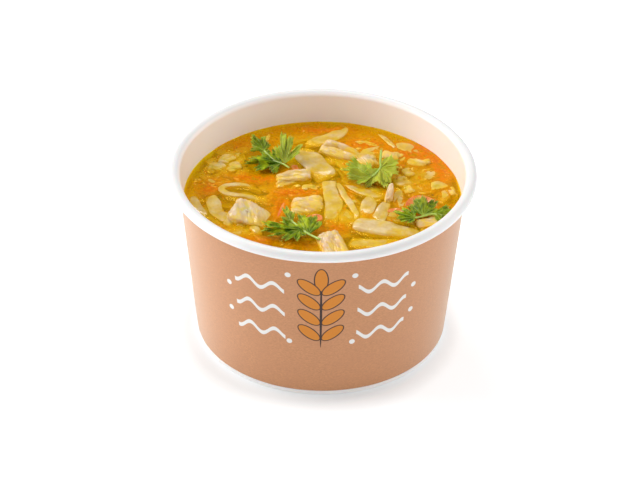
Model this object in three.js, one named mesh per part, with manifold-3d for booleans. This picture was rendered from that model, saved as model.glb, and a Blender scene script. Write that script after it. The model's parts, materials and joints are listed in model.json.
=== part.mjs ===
// A takeaway bowl of chicken noodle soup: a white paper bowl in a kraft wrap, filled with broth,
// flat home-made noodles, chicken, carrot and flat-leaf parsley.
// Millimetres, +Z up. The origin is the centre of the foot, on the table. The front is towards -Y.
// Food is placed by x, y and its height over the broth's level.

import * as THREE from 'three';
import { mergeVertices } from 'three/addons/utils/BufferGeometryUtils.js';
import Module from 'manifold-3d';

const wasm = await Module();
wasm.setup();

// ---- driving dimensions ----
const SIDES = 64;              // facets round the bowl
const HEIGHT = 70.6;           // table to the top of the rolled rim
const RIM_RADIUS = 58;         // outside of the rolled rim
const ROLL = 1.94;             // radius of the roll
const BASE_RADIUS = 47.7;      // outside of the wrap's cone at the table
const FLARE = 0.0985;          // how much the cone widens for each mm of height
const WRAP = 0.3;              // kraft wrap
const WRAP_GAP = 0.1;          // between the wrap and the paper wall
const WALL = 0.5;              // coated paper wall
const FOOT_BAND = 2.1;         // white band left bare under the wrap
const WRAP_TOP = 66.5;         // just under the roll
const FOOT_THICKNESS = 1.3;    // wall, skirt and folded edge of the foot, pressed together
const RECESS = 6;              // the bottom disc sits this high in the foot
const DISC = 0.6;              // bottom disc
const FLOOR_CORNER = 1.2;      // inside corner between the disc and the wall
const LEVEL = 57.85;           // broth's surface
const CLEAR = 0.3;             // gap between solids that touch

const coneRadius = (z) => BASE_RADIUS + FLARE * z;
const wallOutside = (z) => coneRadius(z) - WRAP - WRAP_GAP;
const wallInside = (z) => wallOutside(z) - WALL;
const radians = THREE.MathUtils.degToRad;

// ---- solids: joining, cutting and turning back into geometry ----
function solidOf(geometry) {
  const bare = geometry.clone();
  bare.deleteAttribute('normal');
  bare.deleteAttribute('uv');
  const merged = mergeVertices(bare, 1e-4);
  const vertProperties = new Float32Array(merged.attributes.position.array);
  const triVerts = new Uint32Array(merged.index.array);
  const solid = new wasm.Manifold(new wasm.Mesh({ numProp: 3, vertProperties, triVerts }));
  if (solid.volume() > 0) return solid;
  for (let i = 0; i < triVerts.length; i += 3) {
    [triVerts[i], triVerts[i + 1]] = [triVerts[i + 1], triVerts[i]];
  }
  return new wasm.Manifold(new wasm.Mesh({ numProp: 3, vertProperties, triVerts }));
}

function geometryOf(solid) {
  const largest = solid.decompose().sort((a, b) => b.volume() - a.volume())[0];
  const mesh = largest.getMesh();
  const geometry = new THREE.BufferGeometry();
  geometry.setAttribute('position', new THREE.BufferAttribute(mesh.vertProperties, 3));
  geometry.setIndex(new THREE.BufferAttribute(mesh.triVerts, 1));
  geometry.computeVertexNormals();
  return geometry;
}

const joined = (solids) => solids.reduce((sum, solid) => sum.add(solid));
const cut = (solid, tools) => tools.reduce((rest, tool) => rest.subtract(tool), solid);

// A profile of [radius, height] pairs, turned round the bowl's axis.
function turned(profile) {
  const points = profile.map(([radius, height]) => new THREE.Vector2(radius, height));
  return new THREE.LatheGeometry(points, SIDES).rotateX(Math.PI / 2);
}

// Numbers from 0 to 1 that are the same on every run.
function seeded(seed) {
  let state = seed;
  return () => {
    state = (state * 1664525 + 1013904223) % 4294967296;
    return state / 4294967296;
  };
}

// ---- paper bowl ----
function bowlGeometry() {
  const rollCentre = [RIM_RADIUS - ROLL, HEIGHT - ROLL];
  const foot = coneRadius(0) - WRAP_GAP;
  const rimInside = wallInside(HEIGHT - ROLL);
  const profile = [
    [0, RECESS],
    [foot - FOOT_THICKNESS, RECESS],
    [foot - FOOT_THICKNESS, 0],
    [foot, 0],
    [coneRadius(FOOT_BAND) - WRAP_GAP, FOOT_BAND - WRAP_GAP],
    [wallOutside(FOOT_BAND), FOOT_BAND - WRAP_GAP],
  ];
  // The roll starts tucked under against the wall and turns over to its top. Inside, it runs down
  // into the wall on a quarter of an ellipse.
  const tuck = HEIGHT - 1.5 * ROLL;
  profile.push([wallOutside(tuck), tuck]);
  for (let angle = -150; angle <= 180; angle += 30) {
    const a = radians(angle);
    const across = angle > 90 ? rollCentre[0] - rimInside : ROLL;
    profile.push([rollCentre[0] + across * Math.cos(a), rollCentre[1] + ROLL * Math.sin(a)]);
  }
  const floor = RECESS + DISC;
  profile.push(
    [wallInside(floor + FLOOR_CORNER), floor + FLOOR_CORNER],
    [wallInside(floor) - FLOOR_CORNER, floor],
    [0, floor],
  );
  return turned(profile);
}

function wrapGeometry() {
  const outside = (z) => [coneRadius(z), z];
  const inside = (z) => [coneRadius(z) - WRAP, z];
  const corners = [inside(FOOT_BAND), outside(FOOT_BAND), outside(WRAP_TOP), inside(WRAP_TOP)];
  return turned([...corners, corners[0]]);
}

// ---- noodles: flat bands cut from rolled dough ----
// Each path runs through [x, y, height of the band's middle over the level].
const NOODLES = [
  {
    width: 5.6,
    thick: 1.8,
    path: [[1.8, 8.5, 1.2], [2.2, 0, 1.5], [3.2, -9, 1.2], [3.6, -16, 0.4], [3.8, -20, -0.6]],
  },
  { width: 2.2, thick: 2.2, path: [[6, 7, 1.1], [8.2, 0, 1.5], [11, -9, 1.3], [13.5, -14.5, 0.9]] },
  { width: 7.5, thick: 2.4, path: [[11.5, -20.5, 1.3], [19, -23.3, 1.5], [27, -24.8, 1], [36, -25, 0.3]] },
  { width: 5, thick: 1.8, path: [[11.5, -30, 0.2], [19, -32.2, 0.4], [27, -32, -0.1]] },
  { width: 5.4, thick: 1.8, path: [[-41.3, -4.5, 0.4], [-40.5, -11, 1], [-38, -17, 0.8], [-34.5, -21.5, 0]] },
  { width: 3.2, thick: 1.6, path: [[-47, -4, 0.3], [-46.4, -10, 0.7], [-43.4, -15.5, 0.3]] },
  {
    width: 2.6,
    thick: 2.2,
    path: [
      [-24, 2.6, 0.2], [-30, 4.6, 0.8], [-36, 4.6, 1], [-38.8, 1.6, 1.1],
      [-36, -1.4, 1], [-29, -2.4, 0.9], [-21, -5, 0.4],
    ],
  },
  { width: 9, thick: 1.8, path: [[-8, 31, -0.1], [-4.5, 24.5, 0.5], [-1.5, 18.5, 0.5], [0.5, 12.5, 0.1]] },
  { width: 5.5, thick: 1.6, path: [[7.5, 46, 0], [5, 41.5, 0.4], [0, 38, 0.4], [-6, 36.5, 0]] },
  { width: 2.2, thick: 1.6, path: [[21.5, 43, 0.4], [24.2, 38.5, 0.8], [26.8, 34.5, 0.7], [28.6, 31, 0.2]] },
  { width: 4.8, thick: 1.8, path: [[8.5, 4.5, 0.4], [14.5, 1.5, 0.9], [21.5, -1.5, 0.6]] },
  { width: 5.4, thick: 1.8, path: [[17.6, -3, 0.4], [17, -8, 0.9], [16.6, -12.5, 0.4]] },
  { width: 3, thick: 1.8, path: [[22.8, -5, 0.8], [21.5, -11, 1], [20.6, -17, 0.6]] },
];

const EDGE_BEVEL = 0.45;       // of half the thickness, on a band's long edges

function band({ width, thick, path }, grow = 0) {
  const w = width / 2 + grow;
  const t = thick / 2 + grow;
  const edge = t * EDGE_BEVEL;
  const section = new THREE.Shape([
    [-t, edge - w], [edge - t, -w], [t - edge, -w], [t, edge - w],
    [t, w - edge], [t - edge, w], [edge - t, w], [-t, w - edge],
  ].map(([x, y]) => new THREE.Vector2(x, y)));
  const points = path.map(([x, y, h]) => new THREE.Vector3(x, y, LEVEL + h));
  if (grow > 0) {
    const last = points.length - 1;
    const first = points[0].clone().sub(points[1]).setLength(grow);
    const end = points[last].clone().sub(points[last - 1]).setLength(grow);
    points[0].add(first);
    points[last].add(end);
  }
  const route = new THREE.CatmullRomCurve3(points);
  const sweep = { steps: 2 * (path.length - 1), extrudePath: route, bevelEnabled: false };
  return solidOf(new THREE.ExtrudeGeometry(section, sweep));
}

// The tangle under them: a lobed cake whose bumpy top breaks the surface and dips under it at the
// open pools. REACH is its outline, POOLS the dips.
const REACH = [
  [43, 1], [38, 21], [22, 36], [2, 42], [-18, 33], [-34, 22], [-37, 3],
  [-41, -14], [-28, -26], [-12, -34], [6, -38], [22, -33], [37, -20],
];
const POOLS = [
  [-27, 12, 7], [-12, 2, 6], [5, -25, 5], [-22, 25, 7], [24, 14, 6], [-30, -24, 6], [32, -12, 6],
];
const CAKE_RISE = 0.45;        // mean height of its top over the level
const POOL_DEPTH = 2.4;
const CAKE_BOTTOM = 26;
const CAKE_TAPER = 0.82;       // its bottom's outline against its top's
const CAKE_RINGS = [0.22, 0.45, 0.66, 0.85, 1];
const CAKE_SPOKES = 32;

function cakeTop(x, y) {
  const bumps = 0.35 * Math.sin(0.42 * x + 0.2 * y) * Math.cos(0.38 * y - 0.11 * x);
  let dips = 0;
  for (const [px, py, radius] of POOLS) dips += Math.exp(-((x - px) ** 2 + (y - py) ** 2) / radius ** 2);
  return CAKE_RISE + bumps - POOL_DEPTH * Math.min(dips, 1);
}

function cake(grow = 0) {
  const outline = new THREE.CatmullRomCurve3(REACH.map(([x, y]) => new THREE.Vector3(x, y, 0)), true);
  const rim = outline.getSpacedPoints(CAKE_SPOKES).slice(0, CAKE_SPOKES);
  const vertices = [];
  const faces = [];
  const ring = (height, share, extra = 0) => {
    const first = vertices.length / 3;
    for (const point of rim) {
      const length = point.length();
      const x = point.x * (share + extra / length);
      const y = point.y * (share + extra / length);
      vertices.push(x, y, height(x, y));
    }
    return first;
  };
  const sew = (inner, outer) => {
    for (let i = 0; i < CAKE_SPOKES; i++) {
      const j = (i + 1) % CAKE_SPOKES;
      faces.push(inner + i, outer + i, outer + j, inner + i, outer + j, inner + j);
    }
  };
  const top = (x, y) => LEVEL + cakeTop(x, y) + grow;
  vertices.push(0, 0, top(0, 0));
  let previous = ring(top, CAKE_RINGS[0]);
  for (let i = 0; i < CAKE_SPOKES; i++) faces.push(0, previous + i, previous + ((i + 1) % CAKE_SPOKES));
  for (const share of CAKE_RINGS.slice(1)) {
    const next = ring(top, share, share === 1 ? grow : 0);
    sew(previous, next);
    previous = next;
  }
  const lower = ring(() => CAKE_BOTTOM - grow, CAKE_TAPER, grow);
  sew(previous, lower);
  const middle = vertices.length / 3;
  vertices.push(0, 0, CAKE_BOTTOM - grow);
  for (let i = 0; i < CAKE_SPOKES; i++) faces.push(middle, lower + ((i + 1) % CAKE_SPOKES), lower + i);
  const geometry = new THREE.BufferGeometry();
  geometry.setAttribute('position', new THREE.Float32BufferAttribute(vertices, 3));
  geometry.setIndex(faces);
  return solidOf(geometry);
}

// ---- chicken: torn and cut pieces of boiled breast ----
// at: middle [x, y]; size: [width, depth, height]; turn about Z; top: how far it stands out.
const CHICKEN = [
  { at: [-28, -15], size: [12.5, 14, 9], turn: -24, top: 3, cuts: 3 },
  { at: [-11.5, 10.2], size: [14, 7, 6.5], turn: 15, top: 2.5, cuts: 2 },
  { at: [-5, 5.3], size: [6.4, 4, 4], turn: 4, top: 1.2, cuts: 2 },
  { at: [-6.4, -7.8], size: [11.6, 10.4, 5], turn: 4, top: 1.6, cuts: 2 },
  { at: [6.5, 30.3], size: [15.5, 6.6, 5.5], turn: -25, top: 2.5, cuts: 2 },
  { at: [17.2, 35.6], size: [9.5, 6.4, 4], turn: -12, top: 0.7, cuts: 2 },
  { at: [4.3, -34.5], size: [8.6, 13, 8], turn: -6, top: 3, cuts: 3 },
  { at: [39, -18.6], size: [8, 4.4, 4], turn: 22, top: 1.5, cuts: 2 },
  { at: [25.2, -1.2], size: [2.6, 7.4, 5.5], turn: -8, top: 3.6, cuts: 2 },
  { at: [48, 1.6], size: [3, 4.4, 3], turn: 10, top: 1, cuts: 2 },
  { at: [-37.6, 24.4], size: [7, 4.6, 4], turn: 30, top: 1.5, cuts: 2 },
  { at: [-41.6, 18.2], size: [5, 4.8, 3.6], turn: -20, top: 1.2, cuts: 2 },
  { at: [-33.6, 18.6], size: [5, 4.6, 3.6], turn: 12, top: 1.4, cuts: 2 },
  { at: [17.4, 22.6], size: [5, 6.6, 4], turn: 35, top: 1.5, cuts: 2 },
  { at: [33.2, 17], size: [5, 4.4, 3.6], turn: 30, top: 1.3, cuts: 2 },
  { at: [37.4, 22], size: [5.4, 4.6, 3.6], turn: -25, top: 1.4, cuts: 2 },
  { at: [45, 7.8], size: [6.4, 4.4, 3.6], turn: 12, top: 1.1, cuts: 2 },
  { at: [33, 5.2], size: [4, 6.4, 3.6], turn: 14, top: 1.1, cuts: 2 },
];
const ROUNDNESS = 0.42;        // from a block, 0, to a ball, 1
const BALL = 0.62;             // the ball's radius against the block's side
const LUMPS = 0.09;            // unevenness, as a share of the size

function chunk({ at: [x, y], size, turn, top, cuts }, seed, grow = 0) {
  const random = seeded(seed);
  const phase = [random(), random(), random()].map((r) => r * 2 * Math.PI);
  const geometry = new THREE.BoxGeometry(1, 1, 1, cuts, cuts, cuts);
  const place = geometry.attributes.position;
  const p = new THREE.Vector3();
  for (let i = 0; i < place.count; i++) {
    p.fromBufferAttribute(place, i);
    const round = p.clone().setLength(BALL);
    p.lerp(round, ROUNDNESS);
    const waves = Math.sin(7 * p.x + phase[0]) + Math.sin(6 * p.y + phase[1]) + Math.sin(5 * p.z + phase[2]);
    const lump = 1 + LUMPS * waves;
    p.set(p.x * lump * (size[0] + 2 * grow), p.y * lump * (size[1] + 2 * grow), p.z * (size[2] + 2 * grow));
    place.setXYZ(i, p.x, p.y, p.z);
  }
  geometry.rotateZ(radians(turn));
  geometry.translate(x, y, LEVEL + top - size[2] / 2);
  return solidOf(geometry);
}

// ---- carrot: thin rounds and short sticks ----
const CARROT_ROUNDS = [
  { at: [37.6, -6.6], radius: 6, thick: 2.2, top: 0.9 },
  { at: [28, -13.4], radius: 4.4, thick: 2, top: 0.9 },
  { at: [-2.7, -16], radius: 2.7, thick: 2, top: 0.9 },
];
const CARROT_STICKS = [
  { at: [-16.4, -9], size: [3.4, 14, 3], turn: -12, top: 0.7, cuts: 2 },
  { at: [-22.5, -31.4], size: [8, 3.8, 3], turn: -16, top: 0.8, cuts: 2 },
  { at: [45.4, -12.6], size: [4, 2.6, 2.6], turn: 20, top: 0.7, cuts: 1 },
  { at: [-10.9, 18], size: [3.2, 3.6, 3], turn: 20, top: 0.9, cuts: 1 },
  { at: [37, 31], size: [5.4, 3.4, 3], turn: -40, top: 0.8, cuts: 1 },
  { at: [41.2, 25.4], size: [2.8, 5.2, 3], turn: 25, top: 0.8, cuts: 1 },
  { at: [45.4, 15], size: [2.8, 6, 3], turn: 14, top: 0.8, cuts: 1 },
];
const ROUND_SIDES = 12;
const ROUND_TAPER = 0.96;

function carrotRound({ at: [x, y], radius, thick, top }, grow = 0) {
  const upper = radius + grow;
  const lower = radius * ROUND_TAPER + grow;
  const disc = new THREE.CylinderGeometry(upper, lower, thick + 2 * grow, ROUND_SIDES);
  disc.rotateX(Math.PI / 2);
  disc.translate(x, y, LEVEL + top - thick / 2);
  return solidOf(disc);
}

// ---- parsley: flat leaves with pointed lobes, on thin stems ----
// A leaf fans out from its base [x, y, height]. Each lobe is [direction, reach]; rise is the
// direction in which the leaf lifts, and its slope.
const LEAF_THICK = 0.5;
const LEAF_MARGIN = 18;        // degrees from the outer lobes' tips to the leaf's sides
const LEAF_END = 0.35;         // length of those sides against the lobe's reach
const LEAF_VALLEY = 0.62;      // depth of the valleys between lobes, against the shorter reach
const LEAF_SHOULDER = [0.6, 0.85];  // a shoulder's share of the way to the valley, and its reach
const LEAF_RIPPLE = 0.35;      // rise and fall of neighbouring rays at the leaf's edge
const LEAF_SHARES = [0.5, 1];  // rings of points from the base to the edge
const STEM_RADIUS = 0.55;
const STEM_SIDES = 5;
const PARSLEY = [
  {
    leaves: [
      { base: [-15, 18, 2.4], rise: [95, 18], lobes: [[46, 9], [67, 13], [83, 13], [98, 16.7], [118, 11.5]] },
      {
        base: [-17, 19, 2.3],
        rise: [150, 2],
        lobes: [[108, 7], [140, 11.6], [168, 13.4], [194, 12.6], [230, 6.5]],
      },
      { base: [-23, 26, 3], rise: [110, 20], lobes: [[80, 3.8], [104, 6.4], [127, 7.4], [150, 7.7]] },
    ],
    stem: [[-23, 26, 3.1], [-17, 19, 2.5], [-15, 17.6, 2.4], [-13, 15.2, 3.2]],
  },
  {
    leaves: [
      { base: [18.8, 9.4, 2.8], rise: [140, 5], lobes: [[134, 14], [162, 13.8], [188, 10.5], [214, 7]] },
      {
        base: [21.8, 14.6, 3.4],
        rise: [70, 6],
        lobes: [[238, 8], [264, 13], [297, 10.5], [326, 9.2], [360, 7], [415, 9]],
      },
    ],
    stem: [[22.3, 25, 4.6], [21.9, 19, 3.9], [21.8, 14.6, 3.5], [18.8, 9.4, 2.9]],
  },
  {
    leaves: [
      { base: [-3.4, -28.6, 2.4], rise: [95, 8], lobes: [[68, 8.5], [85, 11], [106, 11], [128, 7.5]] },
      {
        base: [-7, -25.6, 2.8],
        rise: [125, 6],
        lobes: [[129, 13.7], [154, 11], [185, 16.4], [206, 12], [228, 10], [252, 8]],
      },
    ],
    stem: [[0.4, -33, 3.6], [-3.4, -28.6, 2.7], [-7, -25.6, 2.9]],
  },
  {
    leaves: [
      { base: [38.6, -14.2, 2.5], rise: [95, 6], lobes: [[62, 8], [86, 9.6], [106, 10.4], [136, 7.6]] },
      { base: [40.6, -13, 2.5], rise: [30, 4], lobes: [[-48, 5], [-6, 7.4], [17, 8.8]] },
      {
        base: [35.4, -17, 2.8],
        rise: [140, 1],
        lobes: [[114, 5.5], [138, 7.4], [160, 9], [196, 7], [240, 5.8]],
      },
    ],
    stem: [[45, -15, 2.9], [40.6, -13.6, 2.6], [38.6, -14.2, 2.6], [35.4, -17, 2.9]],
  },
];

function leaf({ base: [x, y, height], rise: [riseDirection, slope], lobes }) {
  // Rays from the base: a valley, a tip and a shoulder on either side of it for each lobe.
  const rays = [];
  const [aside, shoulder] = LEAF_SHOULDER;
  lobes.forEach(([direction, reach], i) => {
    const before = i ? (direction - lobes[i - 1][0]) / 2 : LEAF_MARGIN;
    const after = i < lobes.length - 1 ? (lobes[i + 1][0] - direction) / 2 : LEAF_MARGIN;
    const valley = i ? LEAF_VALLEY * Math.min(reach, lobes[i - 1][1]) : LEAF_END * reach;
    rays.push([direction - before, valley], [direction - aside * before, shoulder * reach]);
    rays.push([direction, reach], [direction + aside * after, shoulder * reach]);
  });
  const [lastDirection, lastReach] = lobes[lobes.length - 1];
  rays.push([lastDirection + LEAF_MARGIN, LEAF_END * lastReach]);
  const lift = Math.tan(radians(slope));
  const vertices = [];
  for (const side of [1, -1]) {
    vertices.push(x, y, LEVEL + height + side * LEAF_THICK / 2);
    rays.forEach(([direction, reach], i) => {
      for (const share of LEAF_SHARES) {
        const length = reach * share;
        const dx = length * Math.cos(radians(direction));
        const dy = length * Math.sin(radians(direction));
        const up = lift * length * Math.cos(radians(direction - riseDirection));
        const wave = LEAF_RIPPLE * share * (i % 2 ? 1 : -1);
        vertices.push(x + dx, y + dy, LEVEL + height + up + wave + side * LEAF_THICK / 2);
      }
    });
  }
  const under = vertices.length / 6;
  const at = (ray, ring) => (ring < 0 ? 0 : 1 + ray * LEAF_SHARES.length + ring);
  const faces = [];
  const both = (a, b, c) => faces.push(a, b, c, under + c, under + b, under + a);
  const wall = (a, b) => faces.push(b, a, under + a, b, under + a, under + b);
  for (let i = 0; i < rays.length - 1; i++) {
    both(0, at(i, 0), at(i + 1, 0));
    both(at(i, 0), at(i, 1), at(i + 1, 1));
    both(at(i, 0), at(i + 1, 1), at(i + 1, 0));
    wall(at(i, 1), at(i + 1, 1));
  }
  const last = rays.length - 1;
  for (let ring = 0; ring < LEAF_SHARES.length; ring++) {
    wall(at(0, ring - 1), at(0, ring));
    wall(at(last, ring), at(last, ring - 1));
  }
  const geometry = new THREE.BufferGeometry();
  geometry.setAttribute('position', new THREE.Float32BufferAttribute(vertices, 3));
  geometry.setIndex(faces);
  return solidOf(geometry);
}

function sprig({ leaves, stem }) {
  const route = new THREE.CatmullRomCurve3(stem.map(([x, y, h]) => new THREE.Vector3(x, y, LEVEL + h)));
  const corners = Array.from({ length: STEM_SIDES }, (_, i) => {
    const a = (i / STEM_SIDES) * 2 * Math.PI;
    return new THREE.Vector2(STEM_RADIUS * Math.cos(a), STEM_RADIUS * Math.sin(a));
  });
  const section = new THREE.Shape(corners);
  const sweep = { steps: stem.length + 1, extrudePath: route, bevelEnabled: false };
  return joined([solidOf(new THREE.ExtrudeGeometry(section, sweep)), ...leaves.map(leaf)]);
}

// ---- materials ----
const finish = (color, roughness) => new THREE.MeshStandardMaterial({ color, roughness, metalness: 0 });
const coatedPaper = finish(0xf4f1ed, 0.45);
const kraftPaper = finish(0xc3946f, 0.85);
const goldenBroth = finish(0xd49a12, 0.08);
const boiledDough = finish(0xe4c284, 0.35);
const boiledChicken = finish(0xead2a6, 0.55);
const boiledCarrot = finish(0xe2781c, 0.4);
const parsleyGreen = finish(0x5c8a1c, 0.5);

// ---- assembly ----
const soup = new THREE.Group();
function add(name, geometry, material) {
  const mesh = new THREE.Mesh(geometry, material);
  mesh.name = name;
  soup.add(mesh);
}
const numbered = (kind, i) => `${kind}_${String(i + 1).padStart(2, '0')}`;

add('bowl', bowlGeometry(), coatedPaper);
add('kraft_wrap', wrapGeometry(), kraftPaper);

const chicken = (grow) => CHICKEN.map((piece, i) => chunk(piece, i + 1, grow));
const carrot = (grow) => [
  ...CARROT_ROUNDS.map((piece) => carrotRound(piece, grow)),
  ...CARROT_STICKS.map((piece, i) => chunk(piece, i + 101, grow)),
];
const pockets = [...chicken(CLEAR), ...carrot(CLEAR)];

const heap = joined([cake(), ...NOODLES.map((noodle) => band(noodle))]);
add('noodles', geometryOf(cut(heap, pockets)), boiledDough);

const floor = RECESS + DISC + CLEAR;
const brothEdge = (z) => [wallInside(z) - CLEAR, z];
const fill = solidOf(turned([
  [0, floor],
  [brothEdge(floor)[0] - FLOOR_CORNER, floor],
  brothEdge(floor + FLOOR_CORNER),
  brothEdge(LEVEL),
  [0, LEVEL],
]));
const heapPocket = joined([cake(CLEAR), ...NOODLES.map((noodle) => band(noodle, CLEAR))]);
add('broth', geometryOf(cut(fill, [heapPocket, ...pockets])), goldenBroth);

chicken(0).forEach((solid, i) => add(numbered('chicken', i), geometryOf(solid), boiledChicken));
carrot(0).forEach((solid, i) => add(numbered('carrot', i), geometryOf(solid), boiledCarrot));
PARSLEY.forEach((spec, i) => add(numbered('parsley', i), geometryOf(sprig(spec)), parsleyGreen));

export default soup;
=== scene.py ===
"""A takeaway bowl of chicken noodle soup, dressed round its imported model.

Shapes are made in millimetres, with the bowl's axis at x = y = 0 and its foot at z = 0.
"""

import json
import math
import random

import bmesh
import bpy
from mathutils import Matrix, Vector, noise
from mathutils.kdtree import KDTree

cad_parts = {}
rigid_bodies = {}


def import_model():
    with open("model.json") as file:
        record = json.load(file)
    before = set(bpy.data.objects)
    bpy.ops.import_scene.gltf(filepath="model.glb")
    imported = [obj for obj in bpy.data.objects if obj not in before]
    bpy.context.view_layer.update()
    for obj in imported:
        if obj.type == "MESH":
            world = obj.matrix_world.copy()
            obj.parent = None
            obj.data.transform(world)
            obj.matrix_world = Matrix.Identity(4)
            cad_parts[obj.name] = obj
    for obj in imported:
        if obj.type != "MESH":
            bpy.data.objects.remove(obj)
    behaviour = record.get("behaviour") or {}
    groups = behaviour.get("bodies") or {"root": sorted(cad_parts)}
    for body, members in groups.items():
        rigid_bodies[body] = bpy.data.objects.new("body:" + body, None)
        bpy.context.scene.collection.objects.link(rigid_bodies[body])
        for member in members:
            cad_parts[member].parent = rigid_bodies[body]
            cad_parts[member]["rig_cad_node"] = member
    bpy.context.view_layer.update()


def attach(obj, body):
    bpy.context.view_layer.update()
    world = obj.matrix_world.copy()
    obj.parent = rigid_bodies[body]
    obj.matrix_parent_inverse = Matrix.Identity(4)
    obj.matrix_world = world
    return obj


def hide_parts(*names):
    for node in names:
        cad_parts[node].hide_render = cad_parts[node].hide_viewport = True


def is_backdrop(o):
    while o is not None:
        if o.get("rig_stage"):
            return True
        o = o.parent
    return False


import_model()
scene = bpy.context.scene


# ---- table, light and camera ----
# A white table in a bright room, with windows on the left, on the right and behind, and a white
# card in front. The table glows a little, so that it stays white, and less round the foot: a
# painted soft shadow of the bowl.
# The camera stands 1.1 m away and looks 34.6 degrees down.
def feed(node, feeds):
    """Feeds inputs of a node, by name or number, with plain values or from other nodes' sockets."""
    for name, value in feeds.items():
        if isinstance(value, bpy.types.NodeSocket):
            node.id_data.links.new(value, node.inputs[name])
        else:
            node.inputs[name].default_value = value
    return node


def fed(tree, kind, feeds=(), **settings):
    """A new shader node with its settings and its inputs."""
    made = tree.nodes.new("ShaderNode" + kind)
    for name, value in settings.items():
        setattr(made, name, value)
    return feed(made, dict(feeds))


def material_named(name):
    """An empty material: its node tree, its Principled shader and its output."""
    made = bpy.data.materials.new(name)
    made.use_nodes = True
    nodes = made.node_tree.nodes
    return made, made.node_tree, nodes["Principled BSDF"], nodes["Material Output"]


WHITE = (1, 1, 1, 1)
TABLE_HALF = 2                 # metres, as all through this section
PAINTED_SHADOW_MIDDLE = (-0.004, -0.004, 0)    # middle of the bowl's soft shade
# Inner and outer radius of the painted shadow, and the glow there.
GLOW = {"From Min": 0.0475, "From Max": 0.059, "To Min": 0.2, "To Max": 0.52}
table_white, tree, shader, _ = material_named("table_white")
place = fed(tree, "TexCoord").outputs["Object"]
from_middle = fed(tree, "VectorMath", {0: place, 1: PAINTED_SHADOW_MIDDLE}, operation="DISTANCE").outputs["Value"]
glow = fed(tree, "MapRange", {"Value": from_middle, **GLOW}).outputs["Result"]
feed(shader, {"Base Color": (0.68, 0.715, 0.735, 1), "Roughness": 0.7,
              "Emission Color": WHITE, "Emission Strength": glow})
bm = bmesh.new()
bmesh.ops.create_grid(bm, x_segments=1, y_segments=1, size=TABLE_HALF)
table_mesh = bpy.data.meshes.new("table")
bm.to_mesh(table_mesh)
bm.free()
table_mesh.materials.append(table_white)
table = bpy.data.objects.new("table", table_mesh)
scene.collection.objects.link(table)
table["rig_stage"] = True

LIT = Vector((0, 0, 0.03))
WINDOWS = {  # place, size and power in watts
    "window_left": ((-1.35, 0.4, 0.95), 1.2, 25),
    "window_right": ((1.4, 0.3, 0.8), 1.2, 9.6),
    "window_back": ((-0.2, 1.0, 1.55), 0.35, 4.2),
    "white_card": ((0, -1.5, 0.4), 1.4, 3.3),
}
for name, (place, size, power) in WINDOWS.items():
    lamp = bpy.data.lights.new(name, "AREA")
    lamp.size = size
    lamp.energy = power
    lamp_object = bpy.data.objects.new(name, lamp)
    lamp_object.location = place
    lamp_object.rotation_euler = (LIT - Vector(place)).to_track_quat("-Z", "Y").to_euler()
    scene.collection.objects.link(lamp_object)

ROOM_LIGHT = 0.48
room = bpy.data.worlds.new("room")
room.use_nodes = True
feed(room.node_tree.nodes["Background"], {"Color": WHITE, "Strength": ROOM_LIGHT})
scene.world = room
scene.view_settings.view_transform = "Standard"

LOOK_DOWN = math.radians(34.61)
LEAN = math.radians(0.744)
DISTANCE = 1.122
AIM = Vector((0, 0, 0.03685))
LENS = 165.4                   # millimetres, as the sensor
SENSOR = 36
OFF_CENTRE = 1.9 / 640         # of the picture's width
camera_data = bpy.data.cameras.new("camera")
camera_data.lens = LENS
camera_data.sensor_width = SENSOR
camera_data.shift_x = -OFF_CENTRE
camera_data.shift_y = OFF_CENTRE
camera = bpy.data.objects.new("camera", camera_data)
camera.location = AIM + DISTANCE * Vector((0, -math.cos(LOOK_DOWN), math.sin(LOOK_DOWN)))
turn = Matrix.Rotation(math.pi / 2 - LOOK_DOWN, 4, "X") @ Matrix.Rotation(LEAN, 4, "Z")
camera.rotation_euler = turn.to_euler()
scene.collection.objects.link(camera)
scene.camera = camera


# ---- paper bowl ----
# White paper with a thin plastic coating: a conical wall with a rolled rim, and a bottom disc set
# up into a folded foot. Its inside has a painted warm tint, standing in for light that comes
# through the thin wall and its brown wrap, and for warm light bounced from the broth.
def turned(profile, steps=256):
    """A profile of (radius, height) pairs turned round the bowl's axis, from the back."""
    bm = bmesh.new()
    points = [bm.verts.new((0, radius, height)) for radius, height in profile]
    edges = [bm.edges.new(pair) for pair in zip(points, points[1:])]
    bmesh.ops.spin(
        bm, geom=points + edges, cent=(0, 0, 0), axis=(0, 0, 1), dvec=(0, 0, 0),
        angle=2 * math.pi, steps=steps, use_merge=True,
    )
    bmesh.ops.remove_doubles(bm, verts=bm.verts, dist=1e-4)
    bmesh.ops.recalc_face_normals(bm, faces=bm.faces)
    return bm


def piece_of(name, bm, material, crease=None):
    """Makes an object of a shape in millimetres. Only edges sharper than crease stay hard."""
    bmesh.ops.scale(bm, vec=(0.001, 0.001, 0.001), verts=bm.verts)
    mesh = bpy.data.meshes.new(name)
    bm.to_mesh(mesh)
    bm.free()
    mesh.materials.append(material)
    mesh.shade_smooth()
    if crease:
        mesh.set_sharp_from_angle(angle=math.radians(crease))
    made = bpy.data.objects.new(name, mesh)
    scene.collection.objects.link(made)
    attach(made, "root")
    return made


def millimetres(tree):
    """The object's own coordinates, in millimetres."""
    place = fed(tree, "TexCoord").outputs["Object"]
    return fed(tree, "VectorMath", {0: place, "Scale": 1000}, operation="SCALE").outputs["Vector"]


def noise_at(vector, size, detail=3, roughness=0.55, stretch=None):
    """Noise from 0 to 1 with spots of about that size, stretched along the axes if asked."""
    tree = vector.id_data
    if stretch:
        vector = fed(tree, "Mapping", {"Vector": vector, "Scale": stretch}).outputs["Vector"]
    feeds = {"Vector": vector, "Scale": 1 / size, "Detail": detail, "Roughness": roughness}
    return fed(tree, "TexNoise", feeds).outputs["Fac"]


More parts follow.
